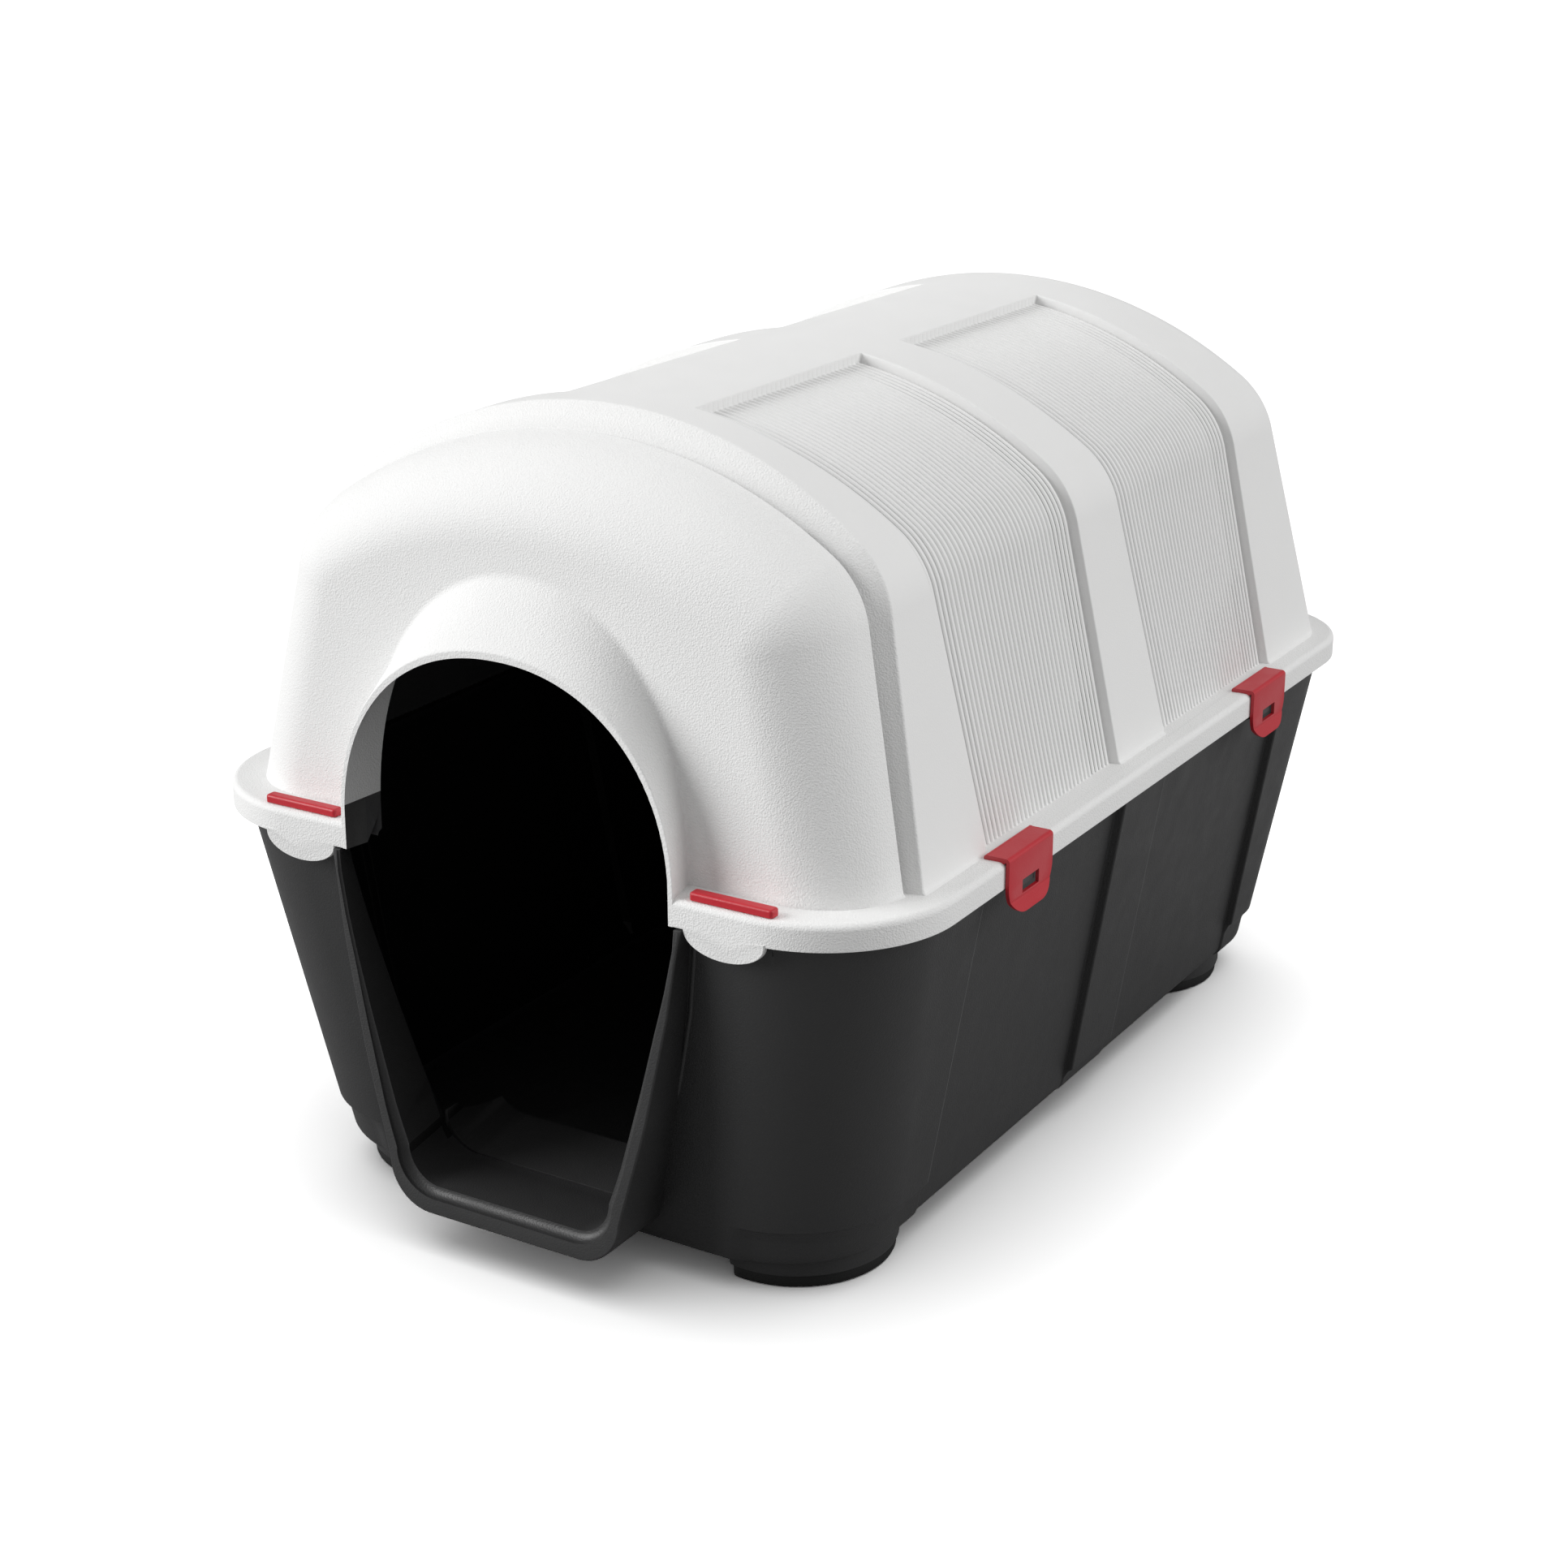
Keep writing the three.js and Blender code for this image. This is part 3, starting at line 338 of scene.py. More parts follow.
def roof_rings(thickness, bottom, leg_bottom):
    outer = thickness == 0
    widen = 0 if outer else thickness - PANEL_DRAFT / 2
    arch = whole(arch_half(ARCH, widen, bottom))
    dome = whole(arch_half(DOME, widen, bottom))
    fractions = lengths(dome[:, :2])

    def hood(depth):
        share = depth / HOOD_DEPTH
        half = HOOD_FRONT[0] + (HOOD_BACK[0] - HOOD_FRONT[0]) * share
        rise = HOOD_FRONT[1] + (HOOD_BACK[1] - HOOD_FRONT[1]) * share
        if not outer:
            half, rise = half - HOOD_SIDE_WALL, rise - HOOD_TOP_WALL
        return hood_ring(half, rise, FLANGE_FRONT + depth, leg_bottom, fractions)

    def dome_ring(angle):
        s, c = math.sin(math.radians(angle)), math.cos(math.radians(angle))
        return arch_ring(dome, DOME["rise"], blend(DOME_BACK, DOME_FACE, s),
                         DOME_ROUND * (1 - c) + thickness, 0, thickness)

    face = dome_ring(90)
    root = hood(HOOD_DEPTH)
    # the hood's root lies in the plane of the dome's face
    share = np.clip((root[:, 2] - FLANGE_TOP) / DOME["rise"], 0, 1)
    root[:, 1] = FLANGE_FRONT + DOME_FACE[0] + (DOME_FACE[1] - DOME_FACE[0]) * share + thickness
    root[[0, -1], 2] = FLANGE_TOP + bottom
    rings = []
    if outer:
        rim = hood(0)
        body = hood(6)
        small = hood(0)
        small[:, 0] *= (HOOD_FRONT[0] - 1.2) / HOOD_FRONT[0]
        small[:, 2] = FLANGE_TOP + (small[:, 2] - FLANGE_TOP) * (HOOD_FRONT[1] - 1.4) / HOOD_FRONT[1]
        rings += [small] + fillet(small, rim, body, 1.6, 4)
        rings += [body, hood(12), hood(18)]
        rings += fillet(hood(18), root, face, 3.5, 8)
    else:
        rings += [hood(-OVERCUT), hood(6), hood(18), root]
    for t in np.linspace(0.25, 0.85, 6):
        rings.append(root * (1 - t) + face * t)
    rings += [dome_ring(a) for a in np.linspace(90, 12, 16 if outer else 8)]
    edge = arch_ring(arch, ARCH["rise"], BAND_EDGE, thickness, 0, thickness)
    if outer:
        # the dome's edge rolls over into the crevice, and the ledge rises from its bottom
        depth = crevice_depth(dome)
        rolled = arch_ring(dome, DOME["rise"], nudge(DOME_BACK, -CREVICE["width"]))
        sunk = arch_ring(dome, DOME["rise"], nudge(DOME_BACK, 0.3 - CREVICE["width"]), depth)
        bottom_ring = arch_ring(dome, DOME["rise"], nudge(DOME_BACK, -0.2), depth)
        after = arch_ring(arch, ARCH["rise"], nudge(BAND_EDGE, 8))
        rings += fillet(rings[-1], rolled, sunk, 1.5, 5) + [sunk, bottom_ring]
        rings += fillet(bottom_ring, edge, after, 1.6, 5)
    else:
        deep = np.maximum(crevice_depth(dome) + CREVICE["wall"], thickness + 0.3)
        rings += [arch_ring(dome, DOME["rise"], nudge(DOME_BACK, -7), deep),
                  arch_ring(dome, DOME["rise"], nudge(DOME_BACK, 3), deep), edge]
    edge_shape = rounded_edge(PANEL_DEPTH, 1.2, 0.8, PANEL_DRAFT)
    for front, rear in PANELS:
        front, rear = nudge(front, -widen), nudge(rear, widen)
        if outer:
            for offset, depth in edge_shape:
                rings.append(arch_ring(arch, ARCH["rise"], nudge(front, offset), 0, depth))
            start, stop = nudge(front, edge_shape[-1][0]), nudge(rear, -edge_shape[-1][0])
            for i in range(RIBS):
                for u, share in RIB_PROFILE:
                    height = RIB_HEIGHT * share
                    place = blend(start, stop, (i + u) / RIBS)
                    rings.append(arch_ring(arch, ARCH["rise"], place, 0, PANEL_DEPTH - height))
            for offset, depth in edge_shape[::-1]:
                rings.append(arch_ring(arch, ARCH["rise"], nudge(rear, -offset), 0, depth))
        else:
            rings.append(arch_ring(arch, ARCH["rise"], front, thickness))
            rings.append(arch_ring(arch, ARCH["rise"], nudge(front, PANEL_DRAFT), thickness, PANEL_DEPTH))
            rings.append(arch_ring(arch, ARCH["rise"], nudge(rear, -PANEL_DRAFT), thickness, PANEL_DEPTH))
            rings.append(arch_ring(arch, ARCH["rise"], rear, thickness))
    for a in np.linspace(0, 90, 15 if outer else 8):
        s, c = math.sin(math.radians(a)), math.cos(math.radians(a))
        rings.append(arch_ring(arch, ARCH["rise"], blend(REAR_START, REAR_FACE, s),
                               REAR_ROUND * (1 - c) + thickness, 0, -thickness))
    return rings


def flange_ring(inset, z):
    front, rear, half = FLANGE_FRONT + inset, FLANGE_REAR - inset, FLANGE_HALF - inset
    rf, rr = FLANGE_FRONT_RADIUS - inset, FLANGE_REAR_RADIUS - inset
    plan = np.vstack([
        arc(half - rf, front + rf, rf, -90, 0, 24),
        arc(half - rr, rear - rr, rr, 0, 90, 20),
        arc(rr - half, rear - rr, rr, 90, 180, 20),
        arc(rf - half, front + rf, rf, 180, 270, 24)])
    return np.column_stack([plan, np.full(len(plan), z)])


def key_slot(x):
    """Outline of the slot round a key's blade."""
    half = KEY["blade"] / 2 + SLIDE_GAP
    near, far = KEY_BLADE_FRONT - SLIDE_GAP, KEY_BLADE_REAR + SLIDE_GAP
    return [[x - half, near], [x + half, near], [x + half, far], [x - half, far]]


def make_roof():
    r = FLANGE_EDGE_ROUND
    rings = [flange_ring(0.7, SKIRT_BOTTOM), flange_ring(0.2, SKIRT_BOTTOM + 0.2),
             flange_ring(0, SKIRT_BOTTOM + 0.8)]
    for a in np.linspace(0, 90, 8):
        s, c = math.sin(math.radians(a)), math.cos(math.radians(a))
        rings.append(flange_ring(r * (1 - c), FLANGE_TOP - r * (1 - s)))
    roof = loft("roof", rings)
    hollow = loft("hollow", [flange_ring(FLANGE_THICKNESS, SKIRT_BOTTOM - OVERCUT),
                             flange_ring(FLANGE_THICKNESS, FLANGE_UNDERSIDE)])
    boolean(roof, "DIFFERENCE", hollow)
    leg = SKIRT_BOTTOM - FLANGE_TOP
    body = loft("body", roof_rings(0, -FLANGE_THICKNESS, leg))
    boolean(roof, "UNION", body)
    cavity = loft("cavity", roof_rings(ROOF_WALL, leg - OVERCUT, leg - OVERCUT))
    lining = tree_of(cavity)
    boolean(roof, "DIFFERENCE", cavity)
    for sign in (1, -1):
        angles = np.radians(np.linspace(180, 360, 33))
        outline = np.stack([sign * TAB["centre"] + TAB["half"] * np.cos(angles),
                            SKIRT_BOTTOM + TAB["drop"] * np.sin(angles)], -1)
        top = [[outline[-1][0], SKIRT_BOTTOM + 2], [outline[0][0], SKIRT_BOTTOM + 2]]
        outline = np.vstack([outline, top])
        middle = outline.mean(0)
        small = middle + (outline - middle) * 0.975
        levels = [(small, 0.01), (outline, 0.7), (outline, FLANGE_THICKNESS)]
        rings = [np.insert(o, 1, FLANGE_FRONT + d, axis=1) for o, d in levels]
        boolean(roof, "UNION", loft("tab", rings))
        x = sign * KEY["centre"]
        slot = key_slot(x)
        boolean(roof, "DIFFERENCE", prism("slot", slot, FLANGE_UNDERSIDE - OVERCUT, FLANGE_TOP + OVERCUT, 2))
        for y in CLIP_PLACES:
            reach = CLIP["width"] / 2 + SLIDE_GAP
            groove = prism("groove", arc(sign * PIVOT_X, PIVOT_Z, CLIP["barrel"] + SLIDE_GAP, 0, 345, 23),
                           y - reach, y + reach, 1)
            boolean(roof, "DIFFERENCE", groove)
    return roof, lining


def rib_place(x, y, z):
    """Distance to the nearest rib's valley as a share of the ribs' pitch, or None off the panels."""
    if z < FLANGE_TOP or abs(x) < RIDGE_HALF + PANEL_DRAFT:
        return None
    lean = min((z - FLANGE_TOP) / ARCH["rise"], 1)
    for front, rear in PANELS:
        edge = PANEL_DRAFT + 0.3
        start = FLANGE_FRONT + front[0] + (front[1] - front[0]) * lean + edge
        stop = FLANGE_FRONT + rear[0] + (rear[1] - rear[0]) * lean - edge
        if start < y < stop:
            share = (y - start) / (stop - start) * RIBS % 1
            return min(share, 1 - share)
    return None


# ---------------------------------------------------------------- tub


def taper_share(z):
    return min(max((SKIRT_BOTTOM - z) / (SKIRT_BOTTOM - FLOOR_UNDERSIDE), 0), 1)


def tub_front(z):
    return FLANGE_FRONT + TUB["front"] + TUB["front_taper"] * taper_share(z)


def tub_corner(cx, cy, radius, start, steps, tuck, wall_first):
    """A corner of the tub, drawn in by tuck except where it joins the front or rear wall."""
    turned = np.linspace(0, 90, steps + 1)
    away = turned if wall_first else 90 - turned
    angle = np.radians(start + turned)
    reach = radius - tuck * np.clip(away / CORNER_FADE, 0, 1)
    return np.stack([cx + reach * np.cos(angle), cy + reach * np.sin(angle)], -1)


def tub_ring(z, inset=0.0, field_depth=0.0, corner_tuck=0.0, mullion_tuck=0.0, widen=0.0):
    """One level of the tub. inset moves its whole outline in, and field_depth sinks the fields."""
    share = taper_share(z)
    half = FLANGE_HALF - TUB["side"] - TUB["side_taper"] * share - inset
    front = tub_front(z) + inset
    rear = FLANGE_REAR - TUB["rear"] - TUB["rear_taper"] * share - inset
    rf = TUB["front_radius"] - TUB["front_loss"] * share - inset
    rr = TUB["rear_radius"] - TUB["rear_loss"] * share - inset
    rake = FIELD["rake"] * share
    middle = FLANGE_FRONT + FLANGE_LENGTH / 2 + FIELD["offset"]
    fields = [(FLANGE_FRONT + FIELD["front"], middle - FIELD["mullion"] / 2 + rake),
              (middle + FIELD["mullion"] / 2 + rake, FLANGE_REAR - FIELD["rear"] + rake)]
    edge = rounded_edge(FIELD["depth"], 1.8, 1.1, 1.5, 3)
    side = []
    for i, (start, stop) in enumerate(fields):
        start, stop = start - widen, stop + widen
        tucks = (mullion_tuck, corner_tuck) if i else (corner_tuck, mullion_tuck)
        side += [(start + t, d / FIELD["depth"], tucks[0]) for t, d in edge]
        side += [(stop - t, d / FIELD["depth"], tucks[1]) for t, d in edge[::-1]]
    side = np.array(side)
    x = half - field_depth * side[:, 1] - side[:, 2] * (1 - side[:, 1])
    right = np.column_stack([x, side[:, 0]])
    left = np.column_stack([-x, side[:, 0]])[::-1]
    plan = np.vstack([
        tub_corner(half - rf, front + rf, rf, -90, 27, corner_tuck, True), right,
        tub_corner(half - rr, rear - rr, rr, 0, 18, corner_tuck, False),
        tub_corner(rr - half, rear - rr, rr, 90, 18, corner_tuck, True), left,
        tub_corner(rf - half, front + rf, rf, 180, 27, corner_tuck, False)])
    return np.column_stack([plan, np.full(len(plan), z)])


def interpolate(table, at):
    depths, widths = zip(*table)
    if at <= depths[-1]:
        return float(np.interp(at, depths, widths))
    slope = (widths[-1] - widths[-2]) / (depths[-1] - depths[-2])
    return widths[-1] + slope * (at - depths[-1])


def collar_outline(table, bottom, corner, scale=1.0, grow=0.0):
    """U-shaped outline of the door collar, from its right arm's top round the sill to its left arm's."""
    corner_top = bottom - corner
    depths = np.linspace(table[0][0], corner_top, 15)
    smoothed = [interpolate(table, d) for d in depths]
    right = [(w + grow, d) for w, d in zip(smoothed, depths)][:-1]
    at = interpolate(table, corner_top) + grow
    r = corner + grow
    for a in np.radians(np.linspace(0, 90, 13)):
        right.append((at - r * (1 - math.cos(a)), corner_top + r * math.sin(a)))
    right = np.array(right)
    x = np.concatenate([right[:, 0], -right[::-1, 0]]) * scale
    z = FLANGE_TOP - np.concatenate([right[:, 1], right[::-1, 1]])
    return np.column_stack([x, z])


def collar_front(z):
    share = np.minimum((FLANGE_TOP - z) / COLLAR_OUTER_BOTTOM, 1)
    return FLANGE_FRONT - COLLAR_TOP_REACH - (COLLAR_REACH - COLLAR_TOP_REACH) * share


def drawn_in(outline, by):
    """The outline moved in by a distance, towards the middle of the doorway."""
    tangent = np.gradient(outline, axis=0)
    normal = np.stack([tangent[:, 1], -tangent[:, 0]], -1)
    normal /= np.linalg.norm(normal, axis=1, keepdims=True)
    centre = np.array([0, FLANGE_TOP - 120])
    flip = np.sign(np.einsum("ij,ij->i", normal, centre - outline))[:, None]
    moved = outline + normal * flip * by
    moved[[0, -1], 1] = outline[[0, -1], 1]
    return moved


def collar_ring(outline, y):
    return np.column_stack([outline[:, 0], y, outline[:, 1]])


# the step in from wall to boot: share of its height and of its depth, with a narrow overhang first
BOOT_STEP = [(0.0, 0.0), (0.04, 0.03), (0.1, 0.2), (0.17, 0.4),
             (0.24, 0.5), (0.5, 0.72), (0.8, 0.93), (0.95, 0.99)]


def tub_outer():
    corner, mullion, inner, field = BOOT["corner"], BOOT["mullion"], BOOT["inner"], FIELD["depth"]
    tucks = dict(corner_tuck=BOOT["corner_tuck"], mullion_tuck=BOOT["mullion_tuck"])
    lip_foot = RIM_TOP - TUB["lip_height"]
    field_top = lip_foot - FIELD["headroom"]
    r = TUB["bottom_round"]
    rings = []
    for a in np.linspace(90, 0, 10):
        s, c = math.sin(math.radians(a)), math.cos(math.radians(a))
        rings.append(tub_ring(FLOOR_UNDERSIDE + r * (1 - s), r * (1 - c), field, **tucks))
    rings.append(tub_ring(inner, 0, field, **tucks))
    for down, depth in BOOT_STEP[::-1]:
        z = mullion - (mullion - inner) * down
        rings.append(tub_ring(z, 0, field, tucks["corner_tuck"], tucks["mullion_tuck"] * depth))
    for down, depth in BOOT_STEP[::-1]:
        z = corner - (corner - mullion) * down + 0.01
        rings.append(tub_ring(z, 0, field, tucks["corner_tuck"] * depth))
    rings += [tub_ring(z, 0, field) for z in np.linspace(corner + 8, SKIRT_BOTTOM, 9)]
    rings += [tub_ring(field_top, 0, field), tub_ring(field_top + 1.5), tub_ring(lip_foot),
              tub_ring(lip_foot + 1, inset=-TUB["lip"]), tub_ring(RIM_TOP - 1, inset=-TUB["lip"]),
              tub_ring(RIM_TOP - 0.3, inset=0.3 - TUB["lip"]), tub_ring(RIM_TOP, inset=1 - TUB["lip"])]
    return rings


def tub_inner():
    field, wall, r = FIELD["depth"], TUB["wall"], TUB["bottom_round"] - TUB["floor"]
    corners, mullion = BOOT["corner_tuck"], BOOT["mullion_tuck"]
    field_top = RIM_TOP - TUB["lip_height"] - FIELD["headroom"]
    rings = []
    for a in np.linspace(90, 0, 6):
        s, c = math.sin(math.radians(a)), math.cos(math.radians(a))
        z = FLOOR_UNDERSIDE + TUB["floor"] + r * (1 - s)
        rings.append(tub_ring(z, wall + r * (1 - c), field, corners, mullion, wall))
    rings += [tub_ring(BOOT["inner"], wall, field, corners, mullion, wall),
              tub_ring(BOOT["mullion"], wall, field, corners, 0, wall),
              tub_ring(BOOT["corner"], wall, field, 0, 0, wall),
              tub_ring(SKIRT_BOTTOM, wall, field, 0, 0, wall),
              tub_ring(field_top + wall, wall, field, 0, 0, wall),
              tub_ring(field_top + wall + 1.5, wall, 0, 0, 0, wall),
              tub_ring(RIM_TOP + OVERCUT, wall, 0, 0, 0, wall)]
    return rings


def foot_rings(profile, x, y):
    """Round foot with a flat side towards the middle of the house."""
    rings = []
    sign = 1 if x > 0 else -1
    for radius, z in profile:
        shrink = FOOT["leg"] - radius
        ring = arc(abs(x), y, radius, 0, 356.25, 95)
        ring[:, 0] = np.maximum(ring[:, 0], FOOT_INNER_X + shrink)
        rings.append(np.column_stack([ring[:, 0] * sign, ring[:, 1], np.full(len(ring), z)]))
    return rings


def make_tub():
    tub = loft("tub", tub_outer())
    hollow = loft("inside", tub_inner())
    shaded = [tree_of(hollow)]
    boolean(tub, "DIFFERENCE", hollow)
    wall = TUB["wall"]

    outline = collar_outline(COLLAR_OUTER, COLLAR_OUTER_BOTTOM, COLLAR_OUTER_CORNER)
    front = collar_front(outline[:, 1])
    rings = []
    for a in np.linspace(90, 0, 5):
        s, c = math.sin(math.radians(a)), math.cos(math.radians(a))
        rings.append(collar_ring(drawn_in(outline, 1.4 * (1 - c)), front + 1.4 * (1 - s)))
    back = np.array([tub_front(z) for z in outline[:, 1]]) + wall / 2
    middle = (front + 1.4 + back) / 2
    rings += [collar_ring(outline, middle), collar_ring(outline, back)]
    boolean(tub, "UNION", loft("collar", rings))

    sill_half = interpolate(COLLAR_INNER, COLLAR_INNER_BOTTOM) * COLLAR_SPREAD + wall
    wall_front = tub_front(FLOOR_UNDERSIDE) + wall / 2
    sill_top = FLANGE_TOP - COLLAR_INNER_BOTTOM + COLLAR_INNER_CORNER
    sill = prism("sill", [[-sill_half, wall_front], [sill_half, wall_front], [sill_half, SILL_BACK],
                          [-sill_half, SILL_BACK]], FLOOR_UNDERSIDE + TUB["floor"] / 2, sill_top, 2)
    boolean(sill, "INTERSECT", loft("tub_block", tub_outer()))
    boolean(tub, "UNION", sill)

    for side in (1, -1):
        for x, y in FOOT_PLACES.values():
            profile = [(FOOT["leg"] - 1.5, 10.0), (FOOT["leg"] - 0.4, 10.4), (FOOT["leg"], 11.5),
                       (FOOT["leg"], FLOOR_UNDERSIDE), (FOOT["leg"], FLOOR_UNDERSIDE + 2)]
            boolean(tub, "UNION", loft("leg", foot_rings(profile, side * x, y)))
        for y in CLIP_PLACES:
            tip = FLANGE_HALF - NOSE["tip_gap"]
            root = FLANGE_HALF - TUB["side"] - FIELD["depth"] - NOSE["root"]
            high = SKIRT_BOTTOM - NOSE["below"]
            shape = np.array([[root, high], [tip - 1.5, high], [tip - 0.4, high - 0.4], [tip, high - 1.5],
                              [tip, high - 5.5], [root, high - 12]])
            boolean(tub, "UNION", prism("nose", shape * [side, 1], y - NOSE["half"], y + NOSE["half"], 1))
        x = side * KEY["centre"]
        half = KEY["blade"] / 2 + SLIDE_GAP
        reach = half + POCKET["side"]
        near, far = tub_front(RIM_TOP) + POCKET["front"], KEY_BLADE_REAR + POCKET["rear"]
        pocket = [[x - reach, near], [x + reach, near], [x + reach, far], [x - reach, far]]
        boolean(tub, "UNION", prism("pocket", pocket, SLOT_BOTTOM - KEY["pocket_floor"], RIM_TOP, 2))

    path = np.array(BEAD_PATH, float)
    for side in (1, -1):
        heights = np.linspace(BEAD["top"], BEAD["bottom"], 40)
        xs = np.interp(heights, path[::-1, 1], path[::-1, 0])
        rings = []
        for x, z in zip(xs, heights):
            y = tub_front(z)
            fade = min(1.0, (z - 89) / 14)
            section = arc(0, 0, 1.0, 0, 330, 11) * [BEAD["width"], BEAD["height"] * fade + 0.05]
            rings.append(np.column_stack([side * x + section[:, 0], y + 0.4 + section[:, 1], np.full(12, z)]))
        boolean(tub, "UNION", loft("bead", rings))

    opening = collar_outline(COLLAR_INNER, COLLAR_INNER_BOTTOM, COLLAR_INNER_CORNER)
    wide = collar_outline(COLLAR_INNER, COLLAR_INNER_BOTTOM, COLLAR_INNER_CORNER, COLLAR_SPREAD)
    front = collar_front(opening[:, 1])

    def raised(points):
        points = points.copy()
        points[[0, -1], 1] = RIM_TOP + OVERCUT
        return points

    share = np.clip((FLANGE_TOP - opening[:, 1] - 40) / 200, 0.25, 1)
    rings = [collar_ring(raised(drawn_in(opening, -9.0)), front - 6)]
    for a in np.linspace(90, 0, 9):
        s, c = math.sin(math.radians(a)), math.cos(math.radians(a))
        radius = (6.5 * share)[:, None]
        tangent_in = drawn_in(opening, 1.0) - opening
        edge = opening - tangent_in * radius * s
        rings.append(collar_ring(raised(edge), front + 6.5 * share * c))
    rings.append(collar_ring(raised(opening * 0.6 + wide * 0.4), front * 0.6 + SILL_BACK * 0.4))
    rings.append(collar_ring(raised(wide), np.full(len(wide), SILL_BACK + 0.5)))
    way = loft("doorway", rings)
    shaded.append(tree_of(way))
    boolean(tub, "DIFFERENCE", way)
    for side in (1, -1):
        slot = key_slot(side * KEY["centre"])
        boolean(tub, "DIFFERENCE", prism("slot", slot, SLOT_BOTTOM, RIM_TOP + OVERCUT, 2))
    return tub, shaded


def on_field_edge(x, y, z):
    """Whether a place is on the rounded front edge of one of the tub's fields."""
    share = taper_share(z)
    half = FLANGE_HALF - TUB["side"] - TUB["side_taper"] * share
    starts = (FLANGE_FRONT + FIELD["front"],
              FLANGE_FRONT + (FLANGE_LENGTH + FIELD["mullion"]) / 2 + FIELD["offset"] + FIELD["rake"] * share)
    near = any(-2.0 < y - start < 0.5 for start in starts)
    return near and BOOT["inner"] < z < SKIRT_BOTTOM and half - 1.6 < abs(x) < half + 0.2


# ---------------------------------------------------------------- clips, keys and pads


def make_clip(name, side, y):
    plate_bottom = FLANGE_TOP + SEAT_GAP
    plate_top = plate_bottom + CLIP["plate"]
    inner = FLANGE_HALF + SLIDE_GAP
    outer = inner + CLIP["plate"]
    foot = FLANGE_TOP - CLIP["drop"]
    half = CLIP["width"] / 2
    lip = CLIP["lip"]
    shape = np.vstack([
        arc(PIVOT_X, PIVOT_Z, CLIP["barrel"], 60, 330, 18),
        [[PIVOT_X + CLIP["barrel"] + 1, plate_bottom], [inner, plate_bottom], [inner, foot + 9],
         [inner + lip, foot], [outer + lip, foot], [outer + lip * 0.82, foot + 2],
         [outer + lip * 0.45, foot + 5.4], [outer + lip * 0.12, foot + 8.8], [outer, foot + 9.6]],
        arc(outer - 3, plate_top - 3, 3, 0, 90, 8)])
    clip = prism(name, shape * [side, 1], -half, half, 1)
    r = CLIP["corner"]
    outline = np.vstack([
        arc(half - r, foot + r, r, -90, 0, 16), arc(half - 2, plate_top - 2, 2, 0, 90, 5) + [0, 5],
        arc(2 - half, plate_top - 2, 2, 90, 180, 5) + [0, 5], arc(r - half, foot + r, r, 180, 270, 16)])
    low, high = sorted((side * (PIVOT_X - 10), side * (FLANGE_HALF + 15)))
    boolean(clip, "INTERSECT", prism("outline", outline, low, high, 0))
    w, top = CLIP["window"] / 2, FLANGE_TOP - CLIP["window_top"]
    window = [[-w, top - CLIP["window_height"]], [w, top - CLIP["window_height"]], [w, top], [-w, top]]
    boolean(clip, "DIFFERENCE", prism("window", window, low, high, 0))
    clip.data.transform(Matrix.Translation((0, y * MM, 0)))
    bevel = clip.modifiers.new("edges", "BEVEL")
    bevel.width = 0.5 * MM
    bevel.segments = 3
    bevel.limit_method = "ANGLE"
    bevel.angle_limit = math.radians(28)
    return clip


def make_key(name, side):
    half_length, half_depth = KEY["length"] / 2, KEY["depth"] / 2
    bottom = FLANGE_TOP + SEAT_GAP
    top = bottom + KEY["height"]
    y0 = FLANGE_FRONT + KEY["setback"] + half_depth

    def bar_ring(inset, z):
        hl, hd, r = half_length - inset, half_depth - inset, max(KEY_CORNER - inset, 0.4)
        plan = np.vstack([arc(hl - r, hd - r, r, 0, 90, 7), arc(r - hl, hd - r, r, 90, 180, 7),
                          arc(r - hl, r - hd, r, 180, 270, 7), arc(hl - r, r - hd, r, 270, 360, 7)])
        return np.column_stack([plan[:, 0] + side * KEY["centre"], plan[:, 1] + y0, np.full(len(plan), z)])

    rings = [bar_ring(0.5, bottom), bar_ring(0.1, bottom + 0.3), bar_ring(0, bottom + 0.8)]
    r = KEY_EDGE_ROUND
    for a in np.linspace(0, 90, 7):
        s, c = math.sin(math.radians(a)), math.cos(math.radians(a))
        rings.append(bar_ring(r * (1 - c), top - r * (1 - s)))
    key = loft(name, rings)
    half = KEY["blade"] / 2
    x = side * KEY["centre"]
    tip = FLANGE_TOP - KEY["blade_length"]
    blade = [[x - half, bottom + 2], [x - half, tip + 5], [x - half + 5, tip], [x + half - 5, tip],
             [x + half, tip + 5], [x + half, bottom + 2]]
    return boolean(key, "UNION", prism("blade", blade, KEY_BLADE_FRONT, KEY_BLADE_REAR, 1))


def make_pad(name, x, y):
    radius, height = FOOT["pad"], FOOT["pad_height"]
    profile = [(radius - 4, 0), (radius - 2.2, 0.3), (radius - 0.8, 1.2), (radius - 0.1, 2.6), (radius, 4.5),
               (radius, height - 1), (radius - 0.3, height - 0.3), (radius - 1, height)]
    return loft(name, foot_rings(profile, x, y))


# ---------------------------------------------------------------- materials


